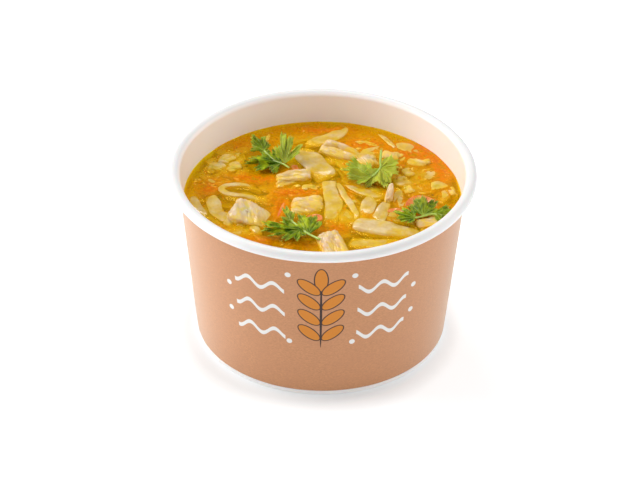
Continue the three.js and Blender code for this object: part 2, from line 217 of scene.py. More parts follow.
def spread(value, low, high, to_low=0.0, to_high=1.0, kind="SMOOTHSTEP"):
    """Maps a value from the range low..high to another one, without going past it."""
    feeds = {"Value": value, "From Min": low, "From Max": high, "To Min": to_low, "To Max": to_high}
    made = fed(value.id_data, "MapRange", feeds, interpolation_type=kind, clamp=True)
    return made.outputs["Result"]


def mixed(share, one, other, kind="MIX"):
    """One colour mixed with another."""
    feeds = {0: share, 6: one, 7: other}
    return fed(share.id_data, "Mix", feeds, data_type="RGBA", blend_type=kind).outputs[2]


def maths(operation, *values):
    """The result of a Math node. At least one of the values is another node's socket."""
    tree = next(value.id_data for value in values if isinstance(value, bpy.types.NodeSocket))
    return fed(tree, "Math", dict(enumerate(values)), operation=operation).outputs[0]


def raised(height, depth, strength=1.0, onto=None):
    """A bump of that depth in millimetres, on top of another one if given."""
    feeds = {"Height": height, "Distance": depth / 1000, "Strength": strength}
    if onto:
        feeds["Normal"] = onto
    return fed(height.id_data, "Bump", feeds).outputs["Normal"]


def dress(shader, colour, roughness, normal, scatter=(), coat=(), specular=0.5):
    """Dresses a shader. Scatter is the share of light that goes in, its reach in metres and the
    reach of red, green and blue. Coat is the share and the roughness of a film on top."""
    feed(shader, {"Base Color": colour, "Roughness": roughness, "Normal": normal})
    feed(shader, dict(zip(("Subsurface Weight", "Subsurface Scale", "Subsurface Radius"), scatter)))
    feed(shader, dict(zip(("Coat Weight", "Coat Roughness"), coat)))
    feed(shader, {"Specular IOR Level": specular})


HEIGHT = 70.6
RIM_RADIUS = 58
ROLL = 1.94                    # radius of the rolled rim
BASE_RADIUS = 47.7             # of the wrap's cone, at the table
FLARE = 0.0985                 # growth of that radius a millimetre up
WRAP = 0.3                     # thickness of the kraft wrap
WRAP_GAP = 0.1
WALL = 0.5
FOOT_BAND = 2.1                # height of the bare foot under the wrap
FOOT_THICKNESS = 1.3
RECESS = 6                     # height of the bottom disc's underside
DISC = 0.6
CORNER = 1                     # radius between the disc and the foot
FILLET = 1.2                   # radius between the disc and the wall
FOOT_EDGE = 0.35               # radius of the foot's edges, below


def cone(z):
    return BASE_RADIUS + FLARE * z


def wall_outside(z):
    return cone(z) - WRAP - WRAP_GAP


def wall_inside(z):
    return wall_outside(z) - WALL


def arc(centre, radii, first, last, count):
    """Points on part of an ellipse, as (radius, height) pairs."""
    angles = [math.radians(first + (last - first) * i / (count - 1)) for i in range(count)]
    (x, y), (wide, high) = centre, radii
    return [(x + wide * math.cos(a), y + high * math.sin(a)) for a in angles]


foot = cone(0) - WRAP_GAP
roll_centre = (RIM_RADIUS - ROLL, HEIGHT - ROLL)
tuck = HEIGHT - 1.5 * ROLL
inner_sweep = roll_centre[0] - wall_inside(HEIGHT - ROLL)
floor = RECESS + DISC
recess_radius = foot - FOOT_THICKNESS
bowl_profile = [(0, RECESS), (recess_radius - CORNER, RECESS)]
bowl_profile += arc((recess_radius - CORNER, RECESS - CORNER), (CORNER, CORNER), 90, 0, 5)
bowl_profile += arc((recess_radius + FOOT_EDGE, FOOT_EDGE), (FOOT_EDGE, FOOT_EDGE), 180, 270, 5)
bowl_profile += arc((foot - FOOT_EDGE, FOOT_EDGE), (FOOT_EDGE, FOOT_EDGE), 270, 360, 5)
bowl_profile += [(cone(FOOT_BAND) - WRAP_GAP, FOOT_BAND - WRAP_GAP - 0.1)]
bowl_profile += [(wall_outside(FOOT_BAND), FOOT_BAND - WRAP_GAP)]
bowl_profile += [(wall_outside(z), z) for z in (10, 20, 30, 40, 50, 60)]
bowl_profile += [(wall_outside(tuck), tuck)]
bowl_profile += arc(roll_centre, (ROLL, ROLL), -150, 90, 25)
bowl_profile += arc(roll_centre, (inner_sweep, ROLL), 98, 180, 12)
bowl_profile += [(wall_inside(z), z) for z in (66, 63, 60, 57, 50, 40, 30, 20)]
fillet_top = (wall_inside(floor + FILLET), floor + FILLET)
bowl_profile += arc((fillet_top[0] - FILLET, fillet_top[1]), (FILLET, FILLET), 0, -90, 6)
bowl_profile += [(0, floor)]
coated_paper, tree, shader, _ = material_named("coated_paper")
place = millimetres(tree)
blush = noise_at(place, 22, detail=2)
tooth = noise_at(place, 0.35, detail=2)
white = mixed(spread(blush, 0.35, 0.65), (0.80, 0.79, 0.78, 1), (0.83, 0.82, 0.81, 1))
# The inner wall gets the painted warm tint; the rolled rim is thicker, and stays white all round.
x, y, z = fed(tree, "SeparateXYZ", {0: place}).outputs
flat = fed(tree, "CombineXYZ", {0: x, 1: y}).outputs[0]
radius = fed(tree, "VectorMath", {0: flat}, operation="LENGTH").outputs["Value"]
on_base = maths("MULTIPLY_ADD", z, -FLARE, radius)
inside = spread(on_base, wall_inside(0) + 1.2, wall_inside(0) + 0.2)
white = mixed(inside, white, (1, 0.917, 0.882, 1))
dress(shader, white, spread(tooth, 0.3, 0.7, 0.34, 0.48), raised(tooth, 0.03, 0.5),
      scatter=(0.15, 0.001), coat=(0.35, 0.3))
paper_bowl = piece_of("paper_bowl", turned(bowl_profile), coated_paper, crease=50)
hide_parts("bowl")


# ---- kraft wrap ----
# One sheet of brown kraft board round the bowl, from the foot to just under the rim, glued in a
# lap at the back. Its face shows long fibres and darker specks.
WRAP_TOP = 66.5
EDGE = 0.08                    # bevel of the cut edges


def wrap_line(z, inset):
    return (cone(z) - inset, z)


wrap_profile = [wrap_line(FOOT_BAND, WRAP), wrap_line(FOOT_BAND, EDGE)]
heights = (FOOT_BAND + EDGE, 10, 20, 30, 40, 50, 60, WRAP_TOP - EDGE)
wrap_profile += [wrap_line(z, 0) for z in heights]
wrap_profile += [wrap_line(WRAP_TOP, EDGE), wrap_line(WRAP_TOP, WRAP), wrap_profile[0]]
kraft, tree, shader, _ = material_named("kraft")
place = millimetres(tree)
cloud = noise_at(place, 9, detail=3)
fibre = noise_at(place, 0.9, detail=4, roughness=0.7, stretch=(1, 1, 2.2))
fleck = noise_at(place, 0.5, detail=2, stretch=(1, 1, 3))
brown = mixed(spread(fibre, 0.25, 0.75), (0.45, 0.196, 0.083, 1), (0.61, 0.28, 0.125, 1))
brown = mixed(spread(cloud, 0.3, 0.7, 0, 0.35), brown, (0.51, 0.225, 0.104, 1))
brown = mixed(spread(fleck, 0.68, 0.78, 0, 0.35), brown, (0.30, 0.16, 0.09, 1))

# The print on the front: a leafy sprig between wavy lines. Its places are in millimetres along the
# wall from the middle of the front, and up from the middle of the print.
PRINT_HEIGHT = 40
OCHRE = (0.62, 0.20, 0.001, 1)
DARK = (0.022, 0.004, 0.001, 1)
WHITE_INK = (0.78, 0.76, 0.73, 1)
INK_LINE = 0.45
LEAVES = [(0, 16.5, 5, 2.2, 90)]
LEAVES += [(side * 4.4, v, 4.8, 2, 90 - side * 50) for v in (-9, -1.5, 6, 13) for side in (1, -1)]
DOTS = [(side * u, v) for side in (1, -1) for u, v in ((12, -14), (36.5, -6), (36.5, 6), (12, 18))]
DOT = 1.1
WAVES = (-11, 0, 11)
WAVE_MIDDLE = 23.5             # from the sprig, on both sides
WAVE_HALF = 10
WAVE_RISE = 1.7
WAVE_TURN = 0.62               # radians a millimetre
x, y, z = fed(tree, "SeparateXYZ", {0: place}).outputs
round_wall = maths("ARCTAN2", x, maths("MULTIPLY", y, -1))
u = maths("MULTIPLY", round_wall, cone(PRINT_HEIGHT))
v = maths("SUBTRACT", z, PRINT_HEIGHT)
on_wall = fed(tree, "CombineXYZ", {0: u, 1: v}).outputs[0]


def oval(at, radii, lean):
    """Where a printed oval is."""
    turn = (0, 0, math.radians(lean))
    laid = {"Vector": on_wall, "Location": (*at, 0), "Rotation": turn, "Scale": (*radii, 1)}
    local = fed(tree, "Mapping", laid, vector_type="TEXTURE").outputs[0]
    out = fed(tree, "VectorMath", {0: local}, operation="LENGTH").outputs["Value"]
    return spread(out, 1.04, 0.98)


sway = maths("SINE", maths("MULTIPLY", u, WAVE_TURN))
aside = maths("ABSOLUTE", maths("SUBTRACT", maths("ABSOLUTE", u), WAVE_MIDDLE))
within = spread(aside, WAVE_HALF + 0.1, WAVE_HALF - 0.1)
for middle in WAVES:
    over = maths("SUBTRACT", maths("MULTIPLY_ADD", sway, -WAVE_RISE, v), middle)
    line = spread(maths("ABSOLUTE", over), 1, 0.85)
    brown = mixed(maths("MULTIPLY", line, within), brown, WHITE_INK)
for at in DOTS:
    brown = mixed(oval(at, (DOT, DOT), 0), brown, WHITE_INK)
brown = mixed(oval((0, -1), (INK_LINE, 15), 0), brown, DARK)
for u, v, reach, half, lean in LEAVES:
    brown = mixed(oval((u, v), (reach + INK_LINE, half + INK_LINE), lean), brown, DARK)
    brown = mixed(oval((u, v), (reach, half), lean), brown, OCHRE)
dress(shader, brown, spread(fibre, 0.3, 0.7, 0.58, 0.72), raised(fibre, 0.05, 0.6))
feed(shader, {"Sheen Weight": 0.85, "Sheen Roughness": 0.38, "Sheen Tint": (1, 0.9, 0.78, 1)})
LAP = 11                       # width of the glued lap
LAP_RISE = 0.28
bm = turned(wrap_profile, steps=480)
for vert in bm.verts:
    if vert.co.y > 0 and -LAP < vert.co.x < 0:
        vert.co.y += LAP_RISE
kraft_sheet = piece_of("kraft_sheet", bm, kraft, crease=40)
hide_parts("kraft_wrap")


# ---- noodles ----
# Flat bands of home-made dough, rolled out and cut by hand, so that no two are quite as wide. They
# lie on and through each other, some on edge, and the golden broth has soaked into them.
def through(points, step):
    """Points along a smooth curve through the given ones, about step apart."""
    points = [Vector(p) for p in points]
    ends = [2 * points[0] - points[1], *points, 2 * points[-1] - points[-2]]
    route = []
    for a, b, c, d in zip(ends, ends[1:], ends[2:], ends[3:]):
        count = max(1, round((c - b).length / step))
        for i in range(count):
            t = i / count
            route.append(
                0.5 * (2 * b + (c - a) * t + (2 * a - 5 * b + 4 * c - d) * t**2
                       + (3 * b - a - 3 * c + d) * t**3)
            )
    return route + [points[-1]]


def rough(*place):
    """Smooth noise, from -1 to 1."""
    return noise.noise(Vector(place))


def turned_by(degrees, axis):
    return Matrix.Rotation(math.radians(degrees), 4, axis)


def drawn(bm, route, section, size_at, roll_at):
    """Extrudes a section along a route. size_at and roll_at give its size and its roll about the
    route at a share of the way. The mark layer keeps where a vertex is: across, up and along."""
    mark = bm.verts.layers.float_vector.get("mark") or bm.verts.layers.float_vector.new("mark")
    places = []
    for i, here in enumerate(route):
        ahead = (route[min(i + 1, len(route) - 1)] - route[max(i - 1, 0)]).normalized()
        side = ahead.cross(Vector((0, 0, 1))).normalized()
        turn = Matrix((side, side.cross(ahead), ahead)).transposed().to_4x4()
        share = i / (len(route) - 1)
        size = size_at(share)
        places.append(
            Matrix.Translation(here) @ turn @ turned_by(roll_at(share), "Z")
            @ Matrix.Diagonal((*size, 1, 1))
        )
    ring = bmesh.ops.create_circle(bm, cap_ends=True, segments=len(section), radius=1)["verts"]
    for vert, (x, y) in zip(ring, section):
        vert.co = (x, y, 0)
        vert[mark] = (x, y, 0)
    cap = ring[0].link_faces[0]
    bmesh.ops.transform(bm, matrix=places[0], verts=ring)
    made = list(ring)
    along = 0
    for i in range(1, len(places)):
        grown = bmesh.ops.extrude_face_region(bm, geom=[cap])["geom"]
        if i > 1:
            bmesh.ops.delete(bm, geom=[cap], context="FACES_ONLY")
        ring = [g for g in grown if isinstance(g, bmesh.types.BMVert)]
        cap = next(g for g in grown if isinstance(g, bmesh.types.BMFace))
        bmesh.ops.transform(bm, matrix=places[i] @ places[i - 1].inverted(), verts=ring)
        along += (route[i] - route[i - 1]).length
        for vert in ring:
            vert[mark] = (vert[mark][0], vert[mark][1], along)
        made += ring
    return made


LEVEL = 57.85                  # of the broth
NOODLES = [  # widths and rolls along it, thickness, and a path of x, y and height over the broth
    ((5.6, 6, 7.4, 6.4, 4), (-5, 6), 1.3,
     [(2.2, 9.8, 0.3), (3, 3, 0.4), (4.4, -5, 0.2), (3.8, -12, 0), (2.8, -20, -1.2)]),
    ((2.2, 2.6, 2.8, 2.2), (10, -10), 1.6,
     [(5.6, 8.5, 0.1), (8, 1, 0.3), (10.8, -7, 0.2), (12.8, -12.5, -0.1), (12.4, -17, -0.9)]),
    ((9.4, 10.4, 10, 8.6, 6, 3), (12, -6), 3.8,
     [(11.6, -18, -0.7), (14.6, -19, -0.3), (20, -21, -0.3), (26, -22.6, -0.5), (32, -24, -0.8),
      (38, -25.6, -1.8)]),
    ((6.8, 6.4, 5.4), (4, -4), 1.6, [(10, -30, -0.6), (19, -31.2, -0.4), (29.5, -30.2, -1.1)]),
    ((4.4, 5.6, 5.8, 5.2, 2), (-8, 12), 1.3,
     [(-42, -0.4, -0.3), (-41.2, -6, 0.3), (-39, -12.5, 0.3), (-35.4, -17, 0.1),
      (-31.6, -20, -0.6)]),
    ((2.8, 3.8, 3), (4, -8), 1.4, [(-49, -1.4, -0.2), (-47.4, -8, 0.3), (-42.8, -15, -0.4)]),
    ((1.8, 2.2, 2.4, 2.6, 3, 3.4, 2.4), (0, 0, 0, 0, 14, 14), 1.8,
     [(-23, 4, -1.6), (-29, 6, -0.2), (-35, 6.2, 0.2), (-38.4, 3.2, 0.3), (-36, 0.2, 0.2),
      (-29, -1.6, 0.1), (-19, -4.4, -1.2)]),
    ((8.6, 10, 10, 9.6), (8, -6), 1.3,
     [(-9.4, 33.6, -0.8), (-6.4, 27.6, 0.3), (-2.8, 20.6, 0.4), (1.8, 12, -0.8)]),
    ((3.6, 6, 7, 4), (-10, 6), 1.3,
     [(8.8, 49.8, -0.5), (7, 44.8, 0.1), (1.6, 39.6, 0.2), (-7, 36.8, -0.9)]),
    ((1.4, 2, 2.2, 1.6), (0, 0), 1.5,
     [(20.8, 44.6, -0.5), (24.2, 39, 0.1), (26.8, 34.8, 0), (29.2, 30, -1.2)]),
    ((2.4, 3.8, 4.4, 3), (12, -8), 1.5,
     [(7.4, 9, -0.9), (12, 4.8, -0.1), (17, 1.6, 0.1), (23.6, -0.6, -0.6)]),
    ((4.6, 6, 6, 5), (10, -6), 1.4,
     [(18.8, -1, -0.1), (17.6, -5, 0.3), (16.8, -9.6, 0.1), (16, -14.8, -1.2)]),
    ((3.4, 4.4, 5.6, 6), (14, -6), 1.4,
     [(24.4, -4, -0.1), (23, -8.6, 0.4), (21.4, -14, 0.3), (19.8, -18.4, -0.8)]),
]
JUST_UNDER = [  # the same, for the pieces that only break the surface here and there
    ((5, 6, 4), (4, -4), 1.5, [(-36, -21, -0.5), (-31, -24.6, -0.4), (-25.5, -27, -1)]),
    ((3, 4, 3), (-12, 8), 1.4, [(-27, -18.6, -0.4), (-25, -23, -0.1), (-22.6, -28.6, -0.9)]),
    ((3.4, 5, 4), (-8, 8), 1.5, [(28, 6.4, -0.6), (28.6, 0, -0.2), (28, -5.8, -0.8)]),
    ((3.4, 4.6, 3.4), (10, -6), 1.5, [(29.6, -0.6, -0.6), (30.4, -5, -0.2), (31.4, -10, -0.9)]),
    ((5, 5, 4), (0, 10), 1.5, [(-24, 8, -1.4), (-17, 4.4, -0.8), (-9, 3, -0.9), (-3, 0.6, -1.5)]),
    ((4, 5, 4), (10, -6), 1.5, [(-23, -3, -1.2), (-17.4, 1.4, -0.7), (-12, 6, -1.2)]),
    ((4, 5.4, 5, 4), (-6, 6), 1.5, [(8, 14, -1), (13.4, 8, -0.5), (20.6, 4.4, -0.4), (27, 2, -1)]),
    ((5.4, 5), (5, -5), 1.5, [(-17, -23.4, -1.3), (-9, -30, -0.8), (0, -33, -1.3)]),
    ((6, 6), (0, 8), 1.6, [(10, -23, -1.4), (3.4, -24.4, -0.8), (-4, -21.6, -1.3)]),
    ((4, 6, 4), (8, 0), 1.5, [(30, -14.4, -0.7), (35.4, -17, -0.3), (41, -20, -1)]),
    ((4, 5.4, 4), (-5, 5), 1.4, [(32.6, 0.6, -0.7), (38, 6.4, -0.3), (43, 13, -0.8)]),
    ((5, 6, 4), (5, -5), 1.4, [(34, 9.6, -0.7), (38, 16, -0.3), (40.6, 24, -0.9)]),
    ((5, 5.6, 4), (5, -8), 1.4, [(12.4, 13.6, -0.8), (9.6, 20, -0.5), (5, 25.6, -0.8)]),
    ((4, 6, 4), (-5, 8), 1.4, [(24.6, 20, -0.8), (29, 26.4, -0.3), (31, 33.6, -1)]),
    ((5, 6, 4), (-5, 8), 1.4, [(-3, 22, -0.8), (3.6, 25, -0.4), (10.4, 24, -0.8)]),
    ((5, 5), (4, -8), 1.4, [(-15, 38, -1.3), (-6, 42, -0.7), (3.4, 45, -1.3)]),
    ((4.6, 4.4), (-6, 4), 1.4, [(-34.6, 29, -1.2), (-27.6, 35.6, -0.8), (-19, 41, -1.3)]),
    ((3.6, 5.4, 4), (8, -6), 1.4, [(-46, 14, -0.9), (-41, 9, -0.3), (-34, 8.4, -0.7)]),
    ((4.8, 6, 4), (0, 8), 1.4, [(-44, 26, -1.2), (-39, 20, -0.6), (-35, 13, -0.7)]),
    ((5.4, 5), (8, -4), 1.5, [(-29.6, 20.6, -1.1), (-31, 12.4, -0.7), (-27, 6, -1.3)]),
    ((4, 5.4, 5), (-8, 8), 1.5, [(-45.6, -8, -1), (-40.4, -17.4, -0.7), (-33, -26.4, -1.2)]),
    ((5, 5), (8, -8), 1.5, [(-20, -11, -1.1), (-18.4, -19, -0.9), (-14, -27, -1.4)]),
    ((4, 6, 4), (-4, 8), 1.5, [(6.8, -8, -1), (9.4, -14.4, -0.3), (8.4, -21, -1)]),
    ((4.6, 5), (8, 0), 1.5, [(12, -4, -1), (13.4, -11.4, -0.5), (17, -17, -1)]),
    ((4, 6, 4), (-8, 8), 1.5, [(22, -7.4, -0.8), (26, -13.4, -0.3), (33, -17, -0.9)]),
    ((5, 4.4), (6, -6), 1.5, [(14, 32, -0.9), (20, 28, -0.4), (24.4, 21, -0.8)]),
    ((4, 5), (-6, 6), 1.5, [(38, -27, -1), (44, -20, -0.5), (48, -11, -0.9)]),
    ((4.6, 5), (6, -6), 1.5, [(-24, 27, -1.2), (-18, 24, -0.9), (-12, 17, -1)]),
    ((3, 5, 3), (-10, 10), 1.4, [(3, 4, -1), (9, -1, -0.4), (15, -5, -0.9)]),
    ((3, 6, 5), (10, 0), 1.4, [(-30, -10, -1), (-33, -17, -0.4), (-31, -23, -0.8)]),
    ((3, 5, 4), (-6, 6), 1.4, [(10, 31.6, -0.9), (16, 37.6, -0.3), (24, 38, -0.9)]),
    ((3, 5, 3), (0, 0), 1.4, [(44, -4, -0.8), (46.4, 3, -0.3), (46, 10, -0.8)]),
    ((4, 5, 3), (8, -8), 1.4, [(-12.4, -1, -1.1), (-5, 0.6, -0.6), (1, -2, -1.2)]),
    ((4, 5, 4), (0, 0), 1.4, [(-41, 32, -1), (-35, 27.6, -0.4), (-30, 21, -1)]),
    ((5, 6, 4), (4, -4), 1.5, [(-34, -33, -1), (-26, -38, -0.3), (-15, -42.6, -1)]),
    ((5, 7, 5), (8, -8), 1.5, [(9, 27, -0.8), (16, 29, 0), (24, 33, -0.6)]),
    ((4, 6, 5), (8, -8), 1.5, [(36, 13, -0.8), (41, 14.6, 0), (45, 19, -0.7)]),
    ((5, 7, 4), (-6, 6), 1.5, [(26, 16, -0.8), (30, 10.6, 0), (36, 7, -0.7)]),
    ((4, 6, 4), (-6, 6), 1.5, [(26, 37, -0.7), (31, 34.6, 0), (38, 29.6, -0.6)]),
    ((4, 5.6, 4), (-4, 4), 1.5, [(-19, -35, -1.1), (-10, -41, -0.4), (2, -45, -1.1)]),
    ((5, 6, 5), (6, -4), 1.5, [(10, -45, -1), (18, -41, -0.3), (26, -36, -1)]),
]
NOODLE_STEP = 1.05
SIDES = 16                     # of a noodle's section, a flat oval with nearly square ends
angles = [2 * math.pi * i / SIDES for i in range(SIDES)]
NOODLE_SECTION = [
    [math.copysign(abs(way) ** 0.5, way) for way in (math.cos(a), math.sin(a))] for a in angles
]
UNEVEN = 0.09                  # of a noodle's width and thickness
WOBBLE = 8                     # of its roll, in degrees
RIPPLE = 0.26
LUMPY = 0.05                   # finer than the ripple
NARROWED = 0.3                 # of the width, at the very ends
NARROW_LENGTH = 1.6
SLANT = 0.5                    # of the cut ends, at most
SLANT_LENGTH = 3


def between(values, share):
    """A value at a share of the way through a row of them."""
    at = share * (len(values) - 1)
    i = min(int(at), len(values) - 2)
    return values[i] + (values[i + 1] - values[i]) * (at - i)


def add(bm, part):
    """Adds a finished shape to another one."""
    loose = bpy.data.meshes.new("loose")
    part.to_mesh(loose)
    part.free()
    bm.from_mesh(loose)
    bpy.data.meshes.remove(loose)


def noodle(bm, widths, rolls, thick, path, seed):
    """A band of dough, uneven in width and thickness, cut askew at its ends and rippled along."""
    def size_at(share):
        along = share * len(path) * 1.7
        gap = min(share, 1 - share) * len(route) * NOODLE_STEP
        wide = 1 + UNEVEN * rough(along, seed * 7.3, 0)
        deep = 1 + 1.5 * UNEVEN * rough(along, seed * 7.3, 5)
        end = 1 - NARROWED * max(0, 1 - gap / NARROW_LENGTH) ** 2
        return between(widths, share) / 2 * wide * end, thick / 2 * deep * end

    def roll_at(share):
        return between(rolls, share) + WOBBLE * rough(share * 4, seed, 9)

    route = through([(x, y, LEVEL + h) for x, y, h in path], NOODLE_STEP)
    for p in route:
        p += Vector((0.3, 0.3, 0.2)) * noise.noise(p * 0.16 + Vector((seed, 0, 0)))
    part = bmesh.new()
    made = drawn(part, route, NOODLE_SECTION, size_at, roll_at)
    mark = part.verts.layers.float_vector["mark"]
    length = max(v[mark].z for v in made)
    ends = [(route[0] - route[1]).normalized(), (route[-1] - route[-2]).normalized()]
    slants = [SLANT * rough(seed * 3.7, i * 9.1, 2) * widths[-i] for i in (0, 1)]
    for vert in made:
        across, _, along = vert[mark]
        for end, slant, gap in zip(ends, slants, (along, length - along)):
            vert.co += end * slant * across * max(0, 1 - gap / SLANT_LENGTH)
        wave = rough(across * 0.7, along * 0.3, seed * 1.9)
        lump = rough(across * 2.2, along * 0.8, seed * 2.3)
        vert.co.z += RIPPLE * wave * (0.4 + abs(across)) + LUMPY * lump
    add(bm, part)


def subdivided(made, levels=1):
    """Smooths a piece with a live subdivision surface."""
    smooth = made.modifiers.new("smooth", "SUBSURF")
    smooth.levels = smooth.render_levels = levels
    return made


# Whatever lies in the broth is stained by it: fully under the surface, and in patches just above.
SOAKED = bpy.data.node_groups.new("soaked", "ShaderNodeTree")
for name, kind, side in (("Color", "Color", "INPUT"), ("Reach", "Float", "INPUT"),
                         ("Strength", "Float", "INPUT"), ("Color", "Color", "OUTPUT")):
    SOAKED.interface.new_socket(name, in_out=side, socket_type="NodeSocket" + kind)
given = SOAKED.nodes.new("NodeGroupInput").outputs
place = millimetres(SOAKED)
over = maths("SUBTRACT", fed(SOAKED, "SeparateXYZ", {0: place}).outputs[2], LEVEL)
patch = spread(noise_at(place, 4.5, detail=3), 0.3, 0.7, -0.8, 0.8, "LINEAR")
stain = maths("DIVIDE", maths("ADD", over, patch), given["Reach"])
stain = maths("MULTIPLY", spread(stain, 1, 0.1), given["Strength"])
golden = mixed(stain, given["Color"], (1, 0.87, 0.04, 1), "MULTIPLY")
feed(SOAKED.nodes.new("NodeGroupOutput"), {"Color": golden})


def soaked(tree, colour, reach, strength):
    """A colour stained by the broth, up to about that height over it."""
    feeds = {"Color": colour, "Reach": reach, "Strength": strength}
    return fed(tree, "Group", feeds, node_tree=SOAKED).outputs["Color"]


dough, tree, shader, _ = material_named("dough")
mark = fed(tree, "Attribute", attribute_name="mark").outputs["Vector"]
place = millimetres(tree)
lines = noise_at(mark, 0.45, detail=3, stretch=(1.2, 1.2, 0.12))
mottle = noise_at(place, 3.2, detail=4)
grain = noise_at(place, 0.5, detail=3, roughness=0.6)
across = fed(tree, "SeparateXYZ", {0: mark}).outputs[0]
edge = spread(maths("ABSOLUTE", across), 0.72, 0.98, 0, 0.4)
cream = mixed(spread(mottle, 0.3, 0.7), (0.62, 0.42, 0.155, 1), (0.74, 0.56, 0.28, 1))
cream = mixed(spread(lines, 0.4, 0.75, 0, 0.4), cream, (0.79, 0.63, 0.36, 1))
cream = mixed(edge, cream, (0.78, 0.61, 0.31, 1))
dress(shader, soaked(tree, cream, 2, 1), spread(grain, 0.3, 0.7, 0.3, 0.46),
      raised(lines, 0.06, 0.5, raised(grain, 0.05, 0.5)),
      scatter=(0.3, 0.0012, (1, 0.55, 0.2)), coat=(0.5, 0.08), specular=0.25)
bm = bmesh.new()
for seed, spec in enumerate(NOODLES):
    noodle(bm, *spec, seed)
bmesh.ops.recalc_face_normals(bm, faces=bm.faces)
noodle_bands = subdivided(piece_of("noodle_bands", bm, dough))
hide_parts("noodles")

# Below them the tangle goes on into the broth, deeper and dimmer.
SUNKEN = 40
SUNKEN_MIDDLES = 41            # reach of their middles
SUNKEN_REACH = 47              # and of their ends


def anywhere(draw, reach):
    """A random place within that reach of the middle."""
    out = reach * math.sqrt(draw.random())
    bearing = draw.uniform(0, 2 * math.pi)
    return out * Vector((math.cos(bearing), math.sin(bearing), 0))


draw = random.Random(7)
bm = bmesh.new()
for seed, spec in enumerate(JUST_UNDER, len(NOODLES)):
    noodle(bm, *spec, seed)
for seed in range(SUNKEN):
    middle = anywhere(draw, SUNKEN_MIDDLES)
    heading = draw.uniform(0, math.pi)
    depth = draw.uniform(-4.6, -2.2)
    bend = draw.uniform(-6, 6)
    half = draw.uniform(6, 12)
    ahead = Vector((math.cos(heading), math.sin(heading), 0))
    side = Vector((-ahead.y, ahead.x, 0))
    path = []
    for share in (-1, -0.4, 0.3, 1):
        at = middle + ahead * half * share + side * bend * share**2
        if at.length > SUNKEN_REACH:
            at *= SUNKEN_REACH / at.length
        path.append((at.x, at.y, depth + draw.uniform(-0.6, 0.6) - 0.8 * share**2))
    width = draw.uniform(3.6, 7)
    rolls = (draw.uniform(-14, 14), draw.uniform(-14, 14))
    noodle(bm, (width, width), rolls, draw.uniform(1.4, 2), path, 60 + seed)
bmesh.ops.recalc_face_normals(bm, faces=bm.faces)
sunken_noodles = subdivided(piece_of("sunken_noodles", bm, dough))
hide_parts("noodles")


# ---- chicken ----
# Boiled breast, cut across and torn along the grain. Each piece is a bundle of muscle fibres, with
# grooves between the bundles and ragged ends. It is off-white and stained by broth, and darker and
# more golden in its hollows.
CRISP = {1: 12, 5: 9, 7: 9, 8: 9, 9: 12}   # sharpness of the cleanly cut pieces' facets
BOILED_SOFT = 5.5              # the same for the others
FLAKE = 0.3                    # height of a torn step
BUNDLE = 1.2                   # thickness of a bundle of fibres
GROOVE = 0.2                   # depth of the grooves between bundles
MAIN_SHARD = 0.86              # size of the main shard, as a share of the piece's
LESSER_SHARDS = (0.42, 0.62)   # the same, least and most, for the others
LEANS = (("Z", 34), ("X", 16), ("Y", 16))   # how many degrees they may turn
MAIN_LEAN = 0.3                # how much of that the main one may turn


def shard(size, seed, grain_turn, facets, fineness, sharpness):
    """A lump round the origin, with cut facets, torn steps and fibres that run along it."""
    bm = bmesh.new()
    draw = random.Random(seed)
    sides = ((1, 0, 0), (0, 1, 0), (0, 0, 1))
    planes = [(Vector(side) * sign, 0.5) for side in sides for sign in (1, -1)]
    for _ in range(facets):
        normal = Vector((draw.gauss(0, 1), draw.gauss(0, 1), draw.gauss(0, 0.8))).normalized()
        planes.append((normal, sum(abs(c) for c in normal) * 0.5 * draw.uniform(0.7, 0.86)))
    away = Vector((seed * 13.7, seed * 3.1, seed * 7.9))
    grain = Matrix.Rotation(math.radians(grain_turn), 3, "Z")
    scale = min(1, max(size) / 9)
    bmesh.ops.create_icosphere(bm, subdivisions=fineness, radius=1)
    for vert in bm.verts:
        way = vert.co.normalized()
        gauge = sum((max(0, way.dot(n)) / d) ** sharpness for n, d in planes) ** (1 / sharpness)
        face = Vector([c / gauge * s for c, s in zip(way, size)])
        q = grain @ face
        slow = Vector((q.x * 0.12, q.y * 0.45, q.z * 0.45)) / scale + away
        step = noise.noise(slow) * 5
        flake = FLAKE * scale * (step / math.sqrt(1 + step * step))
        fibres = Vector((q.x * 0.14, q.y, q.z)) / (BUNDLE * scale) + away
        near, spots = noise.voronoi(fibres)
        border = min(1, (near[1] - near[0]) / 0.4)
        dent = GROOVE * scale * (border * (2 - border) - 1)
        ragged = 0.12 * noise.noise(spots[0] * 5.3) + 0.16 * noise.noise(fibres * 2.6)
        vert.co = face + way * (flake + dent + scale * ragged)
    return bm


